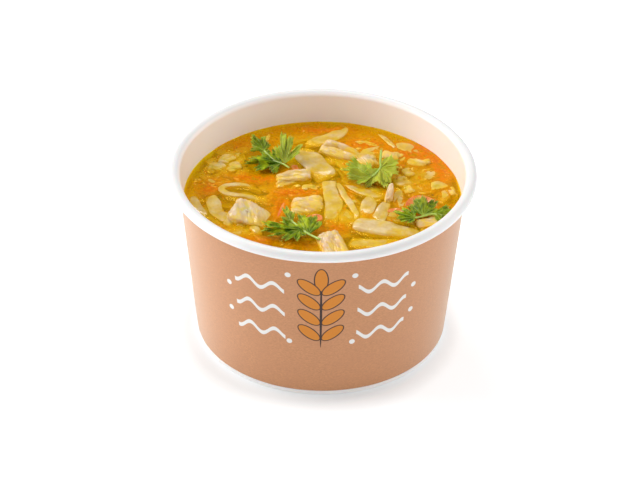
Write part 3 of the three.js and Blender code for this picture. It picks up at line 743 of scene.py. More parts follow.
def torn(bm, at, size, turn, top, seed, grain_turn=0, facets=8, fineness=5, shards=1, slits=(),
         tilt=(0, 0), sharpness=BOILED_SOFT):
    """A torn piece: a large shard, and smaller ones that stand off it. grain_turn turns its fibres.
    Slits are grooves in its top: x and y of both ends, width and depth."""
    draw = random.Random(seed)
    place = Matrix.Translation((at[0], at[1], LEVEL + top - size[2] / 2))
    for degrees, axis in zip((*tilt, turn), "XYZ"):
        place = place @ turned_by(degrees, axis)
    for i in range(shards):
        share = 1 if shards == 1 else draw.uniform(*LESSER_SHARDS) if i else MAIN_SHARD
        part = [side * share * (draw.uniform(0.85, 1.1) if i else 1) for side in size]
        lean = Matrix()
        if shards > 1:
            room = [(side - own) / 2 for side, own in zip(size, part)]
            if i:
                aside = [draw.choice((-1, 1)) * gap for gap in room[:2]]
                aside.append(draw.uniform(0.2, 1) * room[2])
            else:
                aside = [draw.uniform(-1, 1) * gap for gap in room[:2]] + [room[2]]
            lean = Matrix.Translation(aside)
            for axis, reach in LEANS:
                degrees = draw.uniform(-reach, reach) * (1 if i else MAIN_LEAN)
                lean = lean @ turned_by(degrees, axis)
        finer = max(2, fineness - 1) if i else fineness
        lump = shard(part, seed + 500 * i, grain_turn, facets, finer, sharpness)
        bmesh.ops.transform(lump, matrix=place @ lean, verts=lump.verts)
        for x0, y0, x1, y1, width, depth in slits:
            run = Vector((x1 - x0, y1 - y0))
            for vert in lump.verts:
                if vert.co.z > LEVEL + top - size[2] / 2:
                    to = Vector((vert.co.x - x0, vert.co.y - y0))
                    share = min(1, max(0, to.dot(run) / run.length_squared))
                    vert.co.z -= depth * math.exp(-((to - run * share).length / width) ** 2)
        add(bm, lump)


CHICKEN = [  # middle, size, turn, height over the broth, and the grain's turn
    ((-27, -15.8), (16.4, 16.6, 9), -24, 2.8, 60),
    ((-11.6, 11.4), (17, 8.6, 6.5), 20, 2.2, 10),
    ((-4.8, 5.6), (6.4, 4.4, 4), 4, 1.1, 0),
    ((-6, -7.4), (12.4, 11.6, 5.6), 4, 1.9, 25),
    ((6.2, 29.8), (17, 8.4, 6), -23, 2.6, 0),
    ((16.2, 35.4), (15, 9.4, 5), -16, 0.5, 0),
    ((4, -33.6), (10, 15.4, 8), 18, 2.8, 85),
    ((39.6, -18.6), (9.6, 5.6, 4.8), 22, 1.9, 0),
    ((25, -0.6), (2.9, 9.4, 6.4), -6, 3.4, 90),
    ((49, 2.6), (3, 5, 3.4), 10, 1.4, 90),
    ((-37.2, 24.4), (8.6, 6.6, 4.8), 30, 1.4, 0),
    ((-41, 18.6), (7.4, 6.4, 4.4), -20, 1.1, 0),
    ((-33.4, 19), (7.4, 6.4, 4.4), 12, 1.1, 0),
    ((17.6, 22.8), (8.6, 9.4, 4.6), 30, 1.9, 90),
    ((32.4, 16.8), (6.6, 7.6, 4.4), 20, 1, 0),
    ((36.2, 23), (9.6, 7, 4.8), -20, 1.2, 0),
    ((44.4, 7.6), (8.6, 6.8, 4.4), 12, 1, 0),
    ((33.2, 5), (6.2, 8.4, 4.4), 14, 1, 90),
]
SLITS = {5: [(1.4, 31.6, 5.6, 31.4, 0.7, 1.1), (5.6, 31.4, 12.8, 27.6, 0.6, 1.2)],
         7: [(3.4, -26.4, 0.4, -31, 0.6, 0.3), (0.4, -31, 0, -38, 0.6, 0.35),
             (6.6, -27.4, 4, -32, 0.7, 0.45), (4, -32, 4.6, -38, 0.8, 0.5)]}
WHOLE = (4, 5, 6, 7, 9)        # these are single slices
# Tilts in degrees, towards the front and towards the right.
TILTS = {1: (13, 11), 2: (8, -6), 4: (9, 4), 5: (9, 5), 7: (10, 6), 9: (14, 0)}
breast, tree, shader, _ = material_named("breast")
place = millimetres(tree)
patch = noise_at(place, 4, detail=3)
thread = noise_at(place, 0.5, detail=4, roughness=0.65)
stain = noise_at(place, 3.4, detail=4, roughness=0.6)
white = mixed(spread(patch, 0.3, 0.7), (0.70, 0.48, 0.24, 1), (0.79, 0.62, 0.42, 1))
blush = spread(noise_at(place, 9, detail=2), 0.52, 0.66, 0, 0.45)
white = mixed(blush, white, (0.72, 0.42, 0.22, 1))
white = mixed(spread(stain, 0.47, 0.6, 0, 0.75), white, (0.84, 0.60, 0.07, 1))
# Darker and more golden where the surface is hollow.
hollow = fed(tree, "NewGeometry").outputs["Pointiness"]
white = mixed(spread(hollow, 0.5, 0.41, 0, 0.8), white, (0.74, 0.46, 0.08, 1))
dress(shader, soaked(tree, white, 3.1, 1), spread(thread, 0.3, 0.7, 0.38, 0.6),
      raised(thread, 0.12, 0.6),
      scatter=(0.35, 0.0015, (1, 0.6, 0.3)), coat=(0.42, 0.1), specular=0.25)
for number, (at, size, turn, top, grain_turn) in enumerate(CHICKEN, 1):
    bm = bmesh.new()
    torn(bm, at, size, turn, top, number, grain_turn, fineness=6 if max(size) > 9 else 5,
         shards=1 if number in WHOLE else 3, slits=SLITS.get(number, ()),
         tilt=TILTS.get(number, (0, 0)), sharpness=CRISP.get(number, BOILED_SOFT))
    torn_piece = piece_of(f"torn_chicken_{number:02d}", bm, breast)
    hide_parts(f"chicken_{number:02d}")

# Shreds and crumbs that came off the pieces float between them.
SHREDS = [  # middle, size, turn and height over the broth
    ((26.4, 27.6), (8.4, 6, 4.4), -15, 1.7), ((-21.4, 39.6), (2.8, 5.4, 3.4), 4, 0.9),
    ((-34, 26), (5.4, 3.6, 3), 20, 0.8), ((-47.4, 9.2), (3.6, 2.4, 2.4), 10, 0.6),
    ((-40, 11), (3.4, 2.6, 2.4), 30, 0.6), ((37, 12.4), (3.4, 2.4, 2.4), 0, 0.6),
    ((-15, -31), (2, 1.4, 1.4), 10, 0.7), ((41, 3.6), (4.6, 3, 2.6), 30, 0.5),
    ((47, 11), (3, 3.4, 2.6), 0, 0.5), ((38.4, -22), (5, 4, 3), -10, 0.6),
    ((-16, 6.8), (4, 2.6, 2.4), 10, 0.5), ((-2, 2.4), (3, 2, 2), 40, 0.2),
    ((11.6, 21.4), (4, 3, 2.6), -20, 0.4), ((20.4, 31), (4.6, 2.6, 2.4), -30, 0.3),
    ((-45.6, -4.4), (2.6, 2, 2), 0, 0.4), ((-30.6, -20.6), (4.6, 2.6, 2.4), -20, 0.3),
    ((7.4, -17.8), (3, 4.6, 2.6), 10, 0.2), ((21, -3), (2.4, 2, 2), 0, 0.7),
    ((31.4, -8.4), (3, 3.4, 2.4), 20, 0.3), ((29.6, 12), (3.4, 4, 2.6), 0, 0.3),
]
SOFT_LUMPS = [  # middle and spread of a cluster of small torn bits, and how many
    ((-40, 15), (7, 9), 16), ((-33, 24), (5, 5), 7), ((41, 9), (7, 10), 20), ((35, 20), (6, 8), 12),
    ((12, -12), (9, 7), 8), ((-32, -23), (7, 4), 6), ((-6, 6), (8, 4), 6), ((17, 12), (9, 7), 7),
    ((38, -20), (7, 3), 6), ((-12, -30), (7, 3), 5), ((18, 34), (9, 5), 7),
    ((-22, -40), (10, 4), 6), ((24, -40), (10, 4), 7), ((-2, -44), (8, 4), 5),
]
LUMP_REACH = 49.5              # from the middle, at most
CRUMBS = 150
AFLOAT = 49                    # reach of what floats anywhere
draw = random.Random(23)
bm = bmesh.new()
for number, (at, size, turn, top) in enumerate(SHREDS, 31):
    torn(bm, at, size, turn, top, number, grain_turn=draw.uniform(0, 90),
         fineness=5 if max(size) > 5 else 4, shards=3 if max(size) > 3 else 1)
bmesh.ops.recalc_face_normals(bm, faces=bm.faces)
chicken_shreds = piece_of("chicken_shreds", bm, breast)
bm = bmesh.new()
for (x, y), (wide, deep), count in SOFT_LUMPS:
    for _ in range(count):
        at = Vector((x + draw.gauss(0, 0.5) * wide, y + draw.gauss(0, 0.5) * deep))
        if at.length > LUMP_REACH:
            at *= LUMP_REACH / at.length
        long = draw.uniform(1.8, 4.2)
        torn(bm, at, (long, long * draw.uniform(0.55, 0.9), long * 0.6), draw.uniform(0, 180),
             draw.uniform(-0.25, 0.75), draw.randrange(1000), draw.uniform(0, 90),
             fineness=4 if long > 2.4 else 3, shards=2)
for number in range(CRUMBS):
    at = anywhere(draw, AFLOAT)
    length = draw.uniform(0.5, 1.6)
    size = (length, length * draw.uniform(0.4, 0.9), length * draw.uniform(0.4, 0.8))
    torn(bm, at, size, draw.uniform(0, 180), draw.uniform(-0.7, 0.25), 60 + number,
         fineness=2, facets=3)
bmesh.ops.recalc_face_normals(bm, faces=bm.faces)
chicken_crumbs = piece_of("chicken_crumbs", bm, breast)


# ---- carrot ----
# Carrot, sliced into thin rounds and cut into small sticks, and boiled with the rest until its
# edges went soft and round. The broth that it lies in tints it a little.
boiled_carrot, tree, shader, _ = material_named("boiled_carrot")
place = millimetres(tree)
patch = noise_at(place, 2.5, detail=3)
pith = noise_at(place, 0.6, detail=3)
orange = mixed(spread(patch, 0.3, 0.7), (0.74, 0.17, 0.012, 1), (0.86, 0.33, 0.06, 1))
dress(shader, soaked(tree, orange, 1, 0.5), spread(pith, 0.3, 0.7, 0.3, 0.45),
      raised(pith, 0.08, 0.5), scatter=(0.4, 0.0015, (1, 0.4, 0.12)), coat=(0.3, 0.1))
CARROT_ROUNDS = [  # middle, radius, thickness, height over the broth and tilt towards the front
    ((37.2, -6.4), 6.2, 1.6, 0.3, 8), ((27.6, -13), 4.4, 1.6, 0.2, 9),
    ((-2.7, -16), 2.9, 2, 0.8, -6),
]
CARROT_STICKS = [  # middle, size, turn and height over the broth
    ((-15.4, -9), (4, 15, 3), -14, 0.3), ((-22.5, -30.6), (8, 4, 3), -16, 0.15),
    ((45.4, -12.2), (4.4, 2.8, 2.6), 20, 0.6), ((-10.7, 18.6), (2.8, 3.8, 3), 20, 0.8),
    ((37, 31), (5.4, 3.4, 3), -40, 0.4), ((41.2, 25.4), (2.8, 5.2, 3), 25, 0.4),
    ((45.4, 15), (2.8, 6, 3), 14, 0.4),
]
CARROT_BITS = [  # the same
    ((-42, 5), (6, 5.4, 3), 30, -0.2), ((3.4, -22.4), (9, 3, 2.4), -10, -0.3),
    ((-6, 1.4), (6, 2.2, 2), 12, 0), ((34, 34.6), (5, 2.4, 2), -50, 0.1),
    ((43.6, 20.4), (2, 5, 2), 22, 0.2), ((46.4, 9.6), (2, 4.6, 2), 6, -0.1),
    ((40, 29.4), (3.4, 2, 2), -40, 0.2), ((41.4, -1.4), (4, 1.4, 1.4), -20, 0.5),
    ((17, 30.4), (4.4, 2, 2), -30, 0), ((-1, 46.4), (12, 2, 2), 0, -0.6),
    ((-33, 35), (4, 2, 2), 50, -0.3), ((10.6, 2.4), (2, 3, 2), 20, -0.1),
    ((31.6, -4.6), (1.6, 6, 2), 10, -0.2), ((30.4, 22), (1.6, 6, 2), -12, -0.2),
    ((8.6, 19.4), (3.4, 1.6, 2), 0, 0),
]
BOXY = 5                       # squareness of a stick, where 2 makes it round
STICK_WAVE = 0.16              # unevenness of its faces
ROUND_WAVE = 0.25              # and of a round's
DISHED = 0.3                   # rise of a round's margin


def stick(bm, at, size, turn, top, seed):
    """A short stick of carrot, boiled soft: its corners are round and its faces uneven."""
    made = bmesh.ops.create_icosphere(bm, subdivisions=4, radius=1)["verts"]
    for vert in made:
        way = vert.co.normalized()
        gauge = sum((abs(c) / 0.5) ** BOXY for c in way) ** (1 / BOXY)
        wave = 1 + STICK_WAVE * noise.noise(way * 1.6 + Vector((seed * 5.1, 0, 0)))
        vert.co = [c / gauge * s * wave for c, s in zip(way, size)]
    place = Matrix.Translation((at[0], at[1], LEVEL + top - size[2] / 2))
    bmesh.ops.transform(bm, matrix=place @ turned_by(turn, "Z"), verts=made)


for number, (at, radius, thick, top, tilt) in enumerate(CARROT_ROUNDS, 1):
    bm = bmesh.new()
    bmesh.ops.create_cone(
        bm, cap_ends=True, segments=40, radius1=radius * 0.96, radius2=radius, depth=thick)
    caps = [f for f in bm.faces if len(f.verts) > 4]
    for share in (0.06, 0.08, 0.2, 0.3):
        bmesh.ops.inset_region(bm, faces=caps, thickness=radius * share, use_even_offset=True)
    for vert in bm.verts:
        out = math.hypot(vert.co.x, vert.co.y) / radius
        vert.co.z += ROUND_WAVE * rough(vert.co.x * 0.5, vert.co.y * 0.5, number)
        vert.co.z += DISHED * out**4
    place = Matrix.Translation((at[0], at[1], LEVEL + top - thick / 2))
    bmesh.ops.transform(bm, matrix=place @ turned_by(tilt, "X"), verts=bm.verts)
    sliced = subdivided(piece_of(f"carrot_round_{number:02d}", bm, boiled_carrot), 2)
    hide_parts(f"carrot_{number:02d}")
for number, spec in enumerate(CARROT_STICKS, len(CARROT_ROUNDS) + 1):
    bm = bmesh.new()
    stick(bm, *spec, number)
    cut_stick = piece_of(f"carrot_stick_{number:02d}", bm, boiled_carrot)
    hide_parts(f"carrot_{number:02d}")
bm = bmesh.new()
for number, spec in enumerate(CARROT_BITS, 20):
    stick(bm, *spec, number)
carrot_bits = piece_of("carrot_bits", bm, boiled_carrot)


# ---- parsley ----
# Sprigs of flat-leaf parsley: wedge-shaped leaflets with toothed lobes, folded along their veins,
# on thin green stems. The blades are dark at their base and paler along their veins, with a painted
# highlight that makes them paler along their margins.
# They were picked fresh and laid on last.
LEAF_THICK = 0.26
LEAF_MARGIN = 20               # degrees beyond the outer veins
LEAF_END = 0.6                 # reach of the outer corners, as a share of the last lobe's
# The teeth of a lobe: their shares of the way from its vein to its edge, and of its reach.
TEETH = [(0.9, 0.82), (0.74, 0.93), (0.58, 0.8), (0.42, 1.0), (0.25, 0.86)]
LEAF_RINGS = 18
FOLD = 0.38                    # rise of a lobe's halves from its vein
TWIST = 1.9                    # of a lobe about its vein
CUP = 0.05                     # droop of the outer lobes
JAGGED = 0.18                  # unevenness of the teeth
SWING = 20                     # sideways bend of a lobe, in degrees
DROOP = 1.1                    # slow waves of a blade
CRUMPLE = 0.5                  # finer ones
CURL = 1.8                     # of the lobes' ends
# Leaflets: base, direction and slope of their rise, paleness, valleys, direction and reach of
# their lobes. Then the stem.
PARSLEY = [
    (
        [
            ((-14.6, 18.2, 2.6), (85, 20), 0.55, 0.46,
             [(44, 8), (60, 11), (75, 13.6), (88, 13.6), (99, 17), (110, 9)]),
            ((-16, 19.6, 1.8), (150, -3), 0, 0.7,
             [(92, 9.5), (112, 12), (134, 13.6), (158, 14.6), (180, 14.6), (204, 12), (232, 7)]),
            ((-22.6, 27, 2.6), (110, 22), 0.15, 0.48,
             [(68, 4.6), (92, 7), (114, 7.6), (134, 7.8), (156, 6.4)]),
        ],
        [(-22.6, 27, 2.6), (-19, 22, 1.6), (-15, 18.6, 2), (-13, 15.4, 2.6)],
    ),
    (
        [
            ((18.8, 9.4, 2.8), (140, 5), 0.6, 0.72,
             [(116, 9.6), (138, 14), (162, 14), (186, 11), (212, 7.5)]),
            ((21.8, 14.6, 3.4), (70, 6), 0.9, 0.82,
             [(228, 7.4), (252, 11.6), (278, 12), (304, 10), (332, 8.8), (360, 8), (388, 9.2),
              (414, 9.4)]),
        ],
        [(22.3, 25, 4.6), (21.9, 19, 3.9), (21.8, 14.6, 3.5), (18.8, 9.4, 2.9)],
    ),
    (
        [
            ((-5, -29.2, 2.3), (95, 8), 0.05, 0.8, [(66, 9.6), (84, 12.4), (103, 13.2), (120, 10)]),
            ((-11, -22.6, 2.8), (118, 6), 0.3, 0.46, [(102, 6.5), (117, 10.6), (134, 6)]),
            ((-7.6, -25.8, 2.5), (190, 3), 0, 0.66,
             [(160, 9.5), (178, 15.6), (192, 18), (208, 14), (226, 11), (248, 9), (272, 6.5)]),
        ],
        [(-0.6, -33.6, 3.2), (-4.6, -29.4, 2.5), (-8, -25.6, 2.6), (-12.4, -19.6, 3)],
    ),
    (
        [
            ((37.8, -15.8, 2.2), (95, 3), 0.1, 0.68,
             [(48, 8.4), (66, 11.4), (84, 12.6), (102, 12.4), (124, 9.6)]),
            ((41.4, -14.4, 2.4), (20, 4), 0.1, 0.56, [(-46, 5), (-14, 7.2), (8, 8), (26, 8.6)]),
            ((34.6, -17.4, 2.5), (140, 2), 0, 0.66,
             [(104, 5.5), (130, 8), (154, 9), (182, 8), (212, 6.6), (244, 6)]),
        ],
        [(44.6, -16, 2.7), (40.6, -14.6, 2.3), (38.2, -15.8, 2.3), (34.6, -17.6, 2.5)],
    ),
]


def leaf_outline(lobes, valley):
    """The outline of a leaflet as (direction, reach, direction of the nearest vein) triples."""
    outline = []
    for i, (direction, reach) in enumerate(lobes):
        before = (direction - lobes[i - 1][0]) / 2 if i else LEAF_MARGIN
        after = (lobes[i + 1][0] - direction) / 2 if i < len(lobes) - 1 else LEAF_MARGIN
        low = valley * min(reach, lobes[i - 1][1]) if i else LEAF_END * reach
        outline.append((direction - before, low, direction))
        outline += [(direction - before * way, reach * tall, direction) for way, tall in TEETH]
        outline.append((direction, reach, direction))
        outline += [(direction + after * way, reach * tall, direction) for way, tall in TEETH[::-1]]
    last, reach = lobes[-1]
    outline.append((last + LEAF_MARGIN, LEAF_END * reach, last))
    return outline


def leaflet(bm, base, rise, paleness, valley, lobes, seed):
    """The blade of a leaflet, spread from its base. The vein layer holds how far a place is from
    its vein and from the base, and the leaflet's paleness. The margin layer is 1 at the edge."""
    vein = bm.verts.layers.float_vector.get("vein") or bm.verts.layers.float_vector.new("vein")
    margin = bm.verts.layers.float.get("margin") or bm.verts.layers.float.new("margin")
    outline = leaf_outline(lobes, valley)
    rays = []
    for (d0, r0, main), (d1, r1, _) in zip(outline, outline[1:]):
        rays += [(d0 + (d1 - d0) * t, r0 + (r1 - r0) * t, main) for t in (0, 0.5)]
    rays.append(outline[-1])
    before = set(bm.verts)
    bmesh.ops.create_grid(bm, x_segments=len(rays) - 1, y_segments=LEAF_RINGS, size=1)
    verts = [v for v in bm.verts if v not in before]
    slope = math.tan(math.radians(rise[1]))
    for vert in verts:
        direction, reach, main = rays[round((vert.co.x + 1) / 2 * (len(rays) - 1))]
        share = max(0.02, (vert.co.y + 1) / 2)
        reach *= 0.9 + JAGGED * rough(direction * 0.21, seed * 1.3, 1)
        swing = SWING * rough(main * 0.61, seed * 2.1, 4) * share**2
        out = reach * share
        across = math.sin(math.radians(direction - main)) * out
        aside = abs(across)
        rising = math.cos(math.radians(direction - rise[0]))
        x = base[0] + out * math.cos(math.radians(direction + swing))
        y = base[1] + out * math.sin(math.radians(direction + swing))
        up = slope * out * rising + FOLD * aside - CUP * reach * share**2 * (1 - rising)
        up += DROOP * rough(x * 0.2, y * 0.2, seed) * share
        up += CRUMPLE * rough(x * 0.55, y * 0.55, seed + 9) * share
        up += CURL * rough(main * 0.37, seed, 3) * share**3
        up += TWIST * rough(main * 0.83, seed, 7) * across
        vert.co = (x, y, LEVEL + base[2] + up)
        vert[vein] = (aside, out, paleness)
        vert[margin] = share
    faces = [f for f in bm.faces if f.verts[0] not in before]
    bmesh.ops.remove_doubles(bm, verts=verts, dist=1e-4)
    faces = [f for f in faces if f.is_valid]
    bmesh.ops.recalc_face_normals(bm, faces=faces)
    if sum(f.normal.z for f in faces) < 0:
        bmesh.ops.reverse_faces(bm, faces=faces)


herb, tree, shader, _ = material_named("herb")
place = millimetres(tree)
vein = fed(tree, "Attribute", attribute_name="vein").outputs["Vector"]
aside, out, paleness = fed(tree, "SeparateXYZ", {0: vein}).outputs
side_vein = maths("PINGPONG", maths("MULTIPLY_ADD", aside, -1.25, out), 1.7)
side_vein = spread(side_vein, 0.15, 0.04, 0, 0.4)
ribs = maths("MAXIMUM", spread(aside, 0.26, 0.1), side_vein)
shade = noise_at(place, 2.6, detail=3)
cells = noise_at(place, 0.4, detail=3)
green = mixed(spread(shade, 0.34, 0.74), (0.03, 0.09, 0.001, 1), (0.48, 0.55, 0.006, 1))
green = mixed(spread(cells, 0.4, 0.7, 0, 0.3), green, (0.38, 0.50, 0.008, 1))
green = mixed(spread(out, 8, 1.5, 0, 0.5), green, (0.03, 0.10, 0.001, 1))
green = mixed(paleness, green, (0.50, 0.52, 0.05, 1))
to_margin = fed(tree, "Attribute", attribute_name="margin").outputs["Fac"]
# Painted highlight: the blade turns paler towards its margin, where the edges catch the light.
green = mixed(spread(to_margin, 0.9, 1, 0, 0.35), green, (0.52, 0.62, 0.10, 1))
green = mixed(maths("MULTIPLY", ribs, 0.38), green, (0.50, 0.62, 0.12, 1))
dress(shader, green, spread(cells, 0.3, 0.7, 0.3, 0.46),
      raised(ribs, -0.12, 0.7, raised(cells, 0.06, 0.5)),
      scatter=(0.45, 0.0008, (0.5, 1, 0.1)), coat=(0.08, 0.2), specular=0.06)
stalk, tree, shader, _ = material_named("stalk")
place = millimetres(tree)
ridges = noise_at(place, 0.8, detail=2)
pale_green = mixed(ridges, (0.28, 0.44, 0.04, 1), (0.50, 0.62, 0.12, 1))
dress(shader, pale_green, 0.35, raised(ridges, 0.06, 0.5),
      scatter=(0.3, 0.001, (0.6, 1, 0.3)), coat=(0.3,))
STEM_RADIUS = 0.5
STEM_TAPER = 0.3
round_section = [(math.cos(i * math.pi / 4), math.sin(i * math.pi / 4)) for i in range(8)]
for number, (leaflets, stem) in enumerate(PARSLEY, 1):
    bm = bmesh.new()
    for i, spec in enumerate(leaflets):
        leaflet(bm, *spec, number * 10 + i)
    blades = piece_of(f"parsley_leaves_{number:02d}", bm, herb)
    thicken = blades.modifiers.new("thickness", "SOLIDIFY")
    thicken.thickness = LEAF_THICK / 1000
    thicken.offset = 0
    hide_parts(f"parsley_{number:02d}")
    bm = bmesh.new()
    route = through([(x, y, LEVEL + h) for x, y, h in stem], 1)
    drawn(bm, route, round_section,
          lambda way: [STEM_RADIUS * (1 - STEM_TAPER * way)] * 2, lambda _: 0)
    bmesh.ops.recalc_face_normals(bm, faces=bm.faces)
    stem_piece = piece_of(f"parsley_stem_{number:02d}", bm, stalk)
    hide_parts(f"parsley_{number:02d}")


# ---- pepper ----
# Black pepper, coarsely ground and stirred in. Its dark, angular grains float at the surface, a
# few large ones among many smaller.
ground_pepper, tree, shader, _ = material_named("ground_pepper")
husk = noise_at(millimetres(tree), 0.3, detail=2)
feed(shader, {"Base Color": mixed(husk, (0.05, 0.025, 0.01, 1), (0.20, 0.11, 0.04, 1)),
              "Roughness": spread(husk, 0.3, 0.7, 0.4, 0.65)})
COARSE = [(-24, -5.5), (-36.5, -11), (-42.3, 14.2), (-32, 28.6), (-6.6, 14), (4.6, 24.4),
          (16.4, 6.6), (47, 10.8), (41.6, 1.4), (-50, -4.4), (-13, -22), (30.2, -11.6), (-20, 16),
          (10.8, 1.8)]
FINE = 70                      # how many smaller grains lie anywhere between them
COARSE_SIZE = (0.5, 0.8)
FINE_SIZE = (0.25, 0.5)
draw = random.Random(11)
bm = bmesh.new()
for spot in COARSE + [None] * FINE:
    if spot:
        x, y = spot
        size = draw.uniform(*COARSE_SIZE)
    else:
        x, y, _ = anywhere(draw, AFLOAT)
        size = draw.uniform(*FINE_SIZE)
    made = bmesh.ops.create_icosphere(bm, subdivisions=1, radius=size / 2)["verts"]
    for vert in made:
        vert.co *= draw.uniform(0.75, 1.2)
        vert.co += Vector((x, y, LEVEL + 0.1))
pepper = piece_of("pepper", bm, ground_pepper)


# ---- broth ----
# Clear golden stock. It climbs a little way up whatever breaks its surface, and orange oil floats
# on it in films and drops. Deeper down it turns cloudy.
shores = []
for shown in scene.objects:
    if shown.type != "MESH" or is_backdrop(shown) or "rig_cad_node" in shown:
        continue
    if shown.name in ("paper_bowl", "kraft_sheet", "pepper"):
        continue
    level = LEVEL / 1000
    verts = shown.data.vertices
    for one, other in shown.data.edge_keys:
        a, b = verts[one].co, verts[other].co
        if (a.z - level) * (b.z - level) < 0:
            share = (level - a.z) / (b.z - a.z)
            shores.append((a.lerp(b, share)) * 1000)
shore = KDTree(len(shores))
for i, p in enumerate(shores):
    shore.insert((p.x, p.y, 0), i)
shore.balance()

CLIMB = 0.75                   # of the broth up a piece, falling off over the width
CLIMB_WIDTH = 1.4
WALL_CLIMB = 0.12
WALL_CLIMB_WIDTH = 1.4
SWELL = 0.05                   # slow waves of the surface
QUIVER = 0.02                  # quick ones
SURFACE_STEP = 0.5
OIL = [  # x, y, reach along x and y, strength
    (-1, 46, 16, 3.6, 1.0), (-43, 4, 6, 5, 1.0), (-26, 11, 12, 4, 1.1), (-8, 2, 9, 3, 1.1),
    (-16, -8, 5, 10, 1.05), (-23, -30, 8, 3, 1.0), (4, -22, 7, 3.5, 1.0), (38, 31, 12, 8, 1.2),
    (46, 18, 4.4, 10, 1.3), (-28, 37, 12, 5, 0.6), (10, 2, 4, 6, 0.6), (33, -6, 8, 8, 0.7),
    (20, -13, 6, 5, 0.4), (-8, -33, 8, 3, 0.6), (32, 22, 6, 12, 0.25), (46, -11, 5, 5, 0.9),
    (16, 36, 10, 6, 1.0), (-12, 15, 5, 3, 0.8), (42, 4, 7, 6, 0.25), (-38, -24, 5, 3, 0.4),
]
SLAB = 22                      # depth of the clear body; the cloudy one fills all but its top
edge_radius = wall_inside(LEVEL) + 0.15
count = round(edge_radius / SURFACE_STEP)
profile = [(edge_radius * i / count, LEVEL) for i in range(count + 1)]
profile += [(wall_inside(LEVEL - SLAB) + 0.1, LEVEL - SLAB), (0, LEVEL - SLAB)]
bm = turned(profile, steps=448)
oil = bm.verts.layers.float.new("oil")
for vert in bm.verts:
    if vert.co.z < LEVEL - 1:
        continue
    x, y = vert.co.x, vert.co.y
    radius = math.hypot(x, y)
    _, _, gap = shore.find((x, y, 0))
    climb = CLIMB * math.exp(-gap / CLIMB_WIDTH)
    climb += WALL_CLIMB * math.exp(-(edge_radius - radius) / WALL_CLIMB_WIDTH)
    vert.co.z += climb + SWELL * rough(x * 0.25, y * 0.25, 1) + QUIVER * rough(x, y, 2)
    films = [s * math.exp(-((x - a) / rx) ** 2 - ((y - b) / ry) ** 2) for a, b, rx, ry, s in OIL]
    vert[oil] = min(1, sum(films))
broth_clear, tree, shader, output = material_named("broth_clear")
place = millimetres(tree)
film = fed(tree, "Attribute", attribute_name="oil").outputs["Fac"]
drift = noise_at(place, 3.4, detail=6, roughness=0.68)
film = maths("MULTIPLY", film, spread(drift, 0.32, 0.53, 0.12))


def drops_at(size, low, high):
    """Round drops of oil of about that size, some of them left out."""
    cells = fed(tree, "TexVoronoi", {"Vector": place, "Scale": 1 / size, "Randomness": 1})
    chosen = fed(tree, "SeparateColor", {0: cells.outputs["Color"]}).outputs[0]
    disc = spread(cells.outputs["Distance"], 0.4, 0.3)
    return maths("MULTIPLY", disc, spread(chosen, low, high))


few = spread(noise_at(place, 6, detail=2), 0.4, 0.6, 0.1, 0.55)
drop = maths("MAXIMUM", drops_at(2.2, 0.6, 0.62), drops_at(0.9, 0.5, 0.52))
drop = maths("MULTIPLY", drop, few)
film = maths("MAXIMUM", film, drop)
wavy = noise_at(place, 1.6, detail=2)
normal = raised(drop, 0.08, 0.6, raised(wavy, 0.05, 0.4))
tint = mixed(film, (1, 1, 0.7, 1), (1, 0.36, 0.003, 1))
clear = fed(tree, "BsdfTransparent", {"Color": tint}).outputs[0]
motes = noise_at(place, 0.9, detail=4, roughness=0.7)
film_colour = mixed(film, (1, 0.56, 0.001, 1), (0.82, 0.20, 0, 1))
film_colour = mixed(spread(motes, 0.52, 0.66, 0, 0.75), film_colour, (0.58, 0.20, 0.001, 1))
film_colour = mixed(spread(motes, 0.44, 0.34, 0, 0.6), film_colour, (1, 0.62, 0.01, 1))
dress(shader, film_colour, 0.2, normal, specular=0.04)
dense = spread(film, 0, 1, 0.28, 0.8)
body = fed(tree, "MixShader", {0: dense, 1: clear, 2: shader.outputs[0]}).outputs[0]
sheen = {"Color": (1, 0.72, 0.08, 1), "Roughness": 0.06, "Normal": normal}
gloss = fed(tree, "BsdfGlossy", sheen).outputs[0]
fresnel = fed(tree, "Fresnel", {"IOR": 1.22, "Normal": normal}).outputs[0]
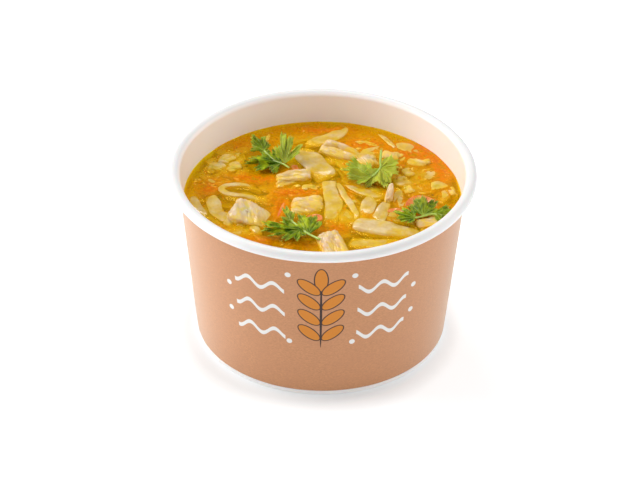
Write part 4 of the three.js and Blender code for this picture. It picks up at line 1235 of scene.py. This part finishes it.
outside = maths("SUBTRACT", 1, fed(tree, "NewGeometry").outputs["Backfacing"])
mirror = maths("MULTIPLY", fresnel, outside)
top = fed(tree, "MixShader", {0: mirror, 1: body, 2: gloss}).outputs[0]
volume = fed(tree, "VolumeAbsorption", {"Color": (1, 0.96, 0.01, 1), "Density": 240}).outputs[0]
feed(output, {"Surface": top, "Volume": volume})
clear_broth = piece_of("clear_broth", bm, broth_clear, crease=40)
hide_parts("broth")

DEEP = 4                       # where the cloudy part begins
SKIN = 0.25                    # its coat on the wall, up to the surface
BILLOW = 1.2                   # rise and fall of its top
profile = [(0, floor + 0.2), (wall_inside(floor) - FILLET, floor + 0.2), fillet_top]
profile += [(wall_inside(z) - 0.02, z) for z in (20, 30, 40, 50, LEVEL + 0.1)]
profile += [(wall_inside(LEVEL) - SKIN, LEVEL + 0.1), (wall_inside(LEVEL - 2) - SKIN, LEVEL - 2)]
top_radius = wall_inside(LEVEL - DEEP) - SKIN
profile += [(top_radius * share / 40, LEVEL - DEEP) for share in range(40, -1, -1)]
bm = turned(profile, steps=160)
for vert in bm.verts:
    x, y = vert.co.x, vert.co.y
    if vert.co.z > LEVEL - DEEP - 0.1 and math.hypot(x, y) < top_radius + 0.01:
        fade = min(1, (top_radius - math.hypot(x, y)) / 6)
        slow, quick = rough(x * 0.11, y * 0.11, 4), rough(x * 0.3, y * 0.3, 6)
        vert.co.z += fade * (BILLOW * slow + BILLOW / 2 * quick)
broth_cloudy, tree, shader, _ = material_named("broth_cloudy")
place = millimetres(tree)
cloud = noise_at(place, 8, detail=4, roughness=0.6)
fine = noise_at(place, 1.2, detail=3, roughness=0.6)
deep = mixed(spread(cloud, 0.3, 0.7), (1, 0.73, 0.006, 1), (1, 0.92, 0.02, 1))
deep = mixed(spread(fine, 0.55, 0.75, 0, 0.3), deep, (0.88, 0.46, 0.004, 1))
feed(shader, {"Base Color": deep, "Roughness": 0.8, "Specular IOR Level": 0.2})
cloudy_broth = piece_of("cloudy_broth", bm, broth_cloudy, crease=50)
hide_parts("broth")
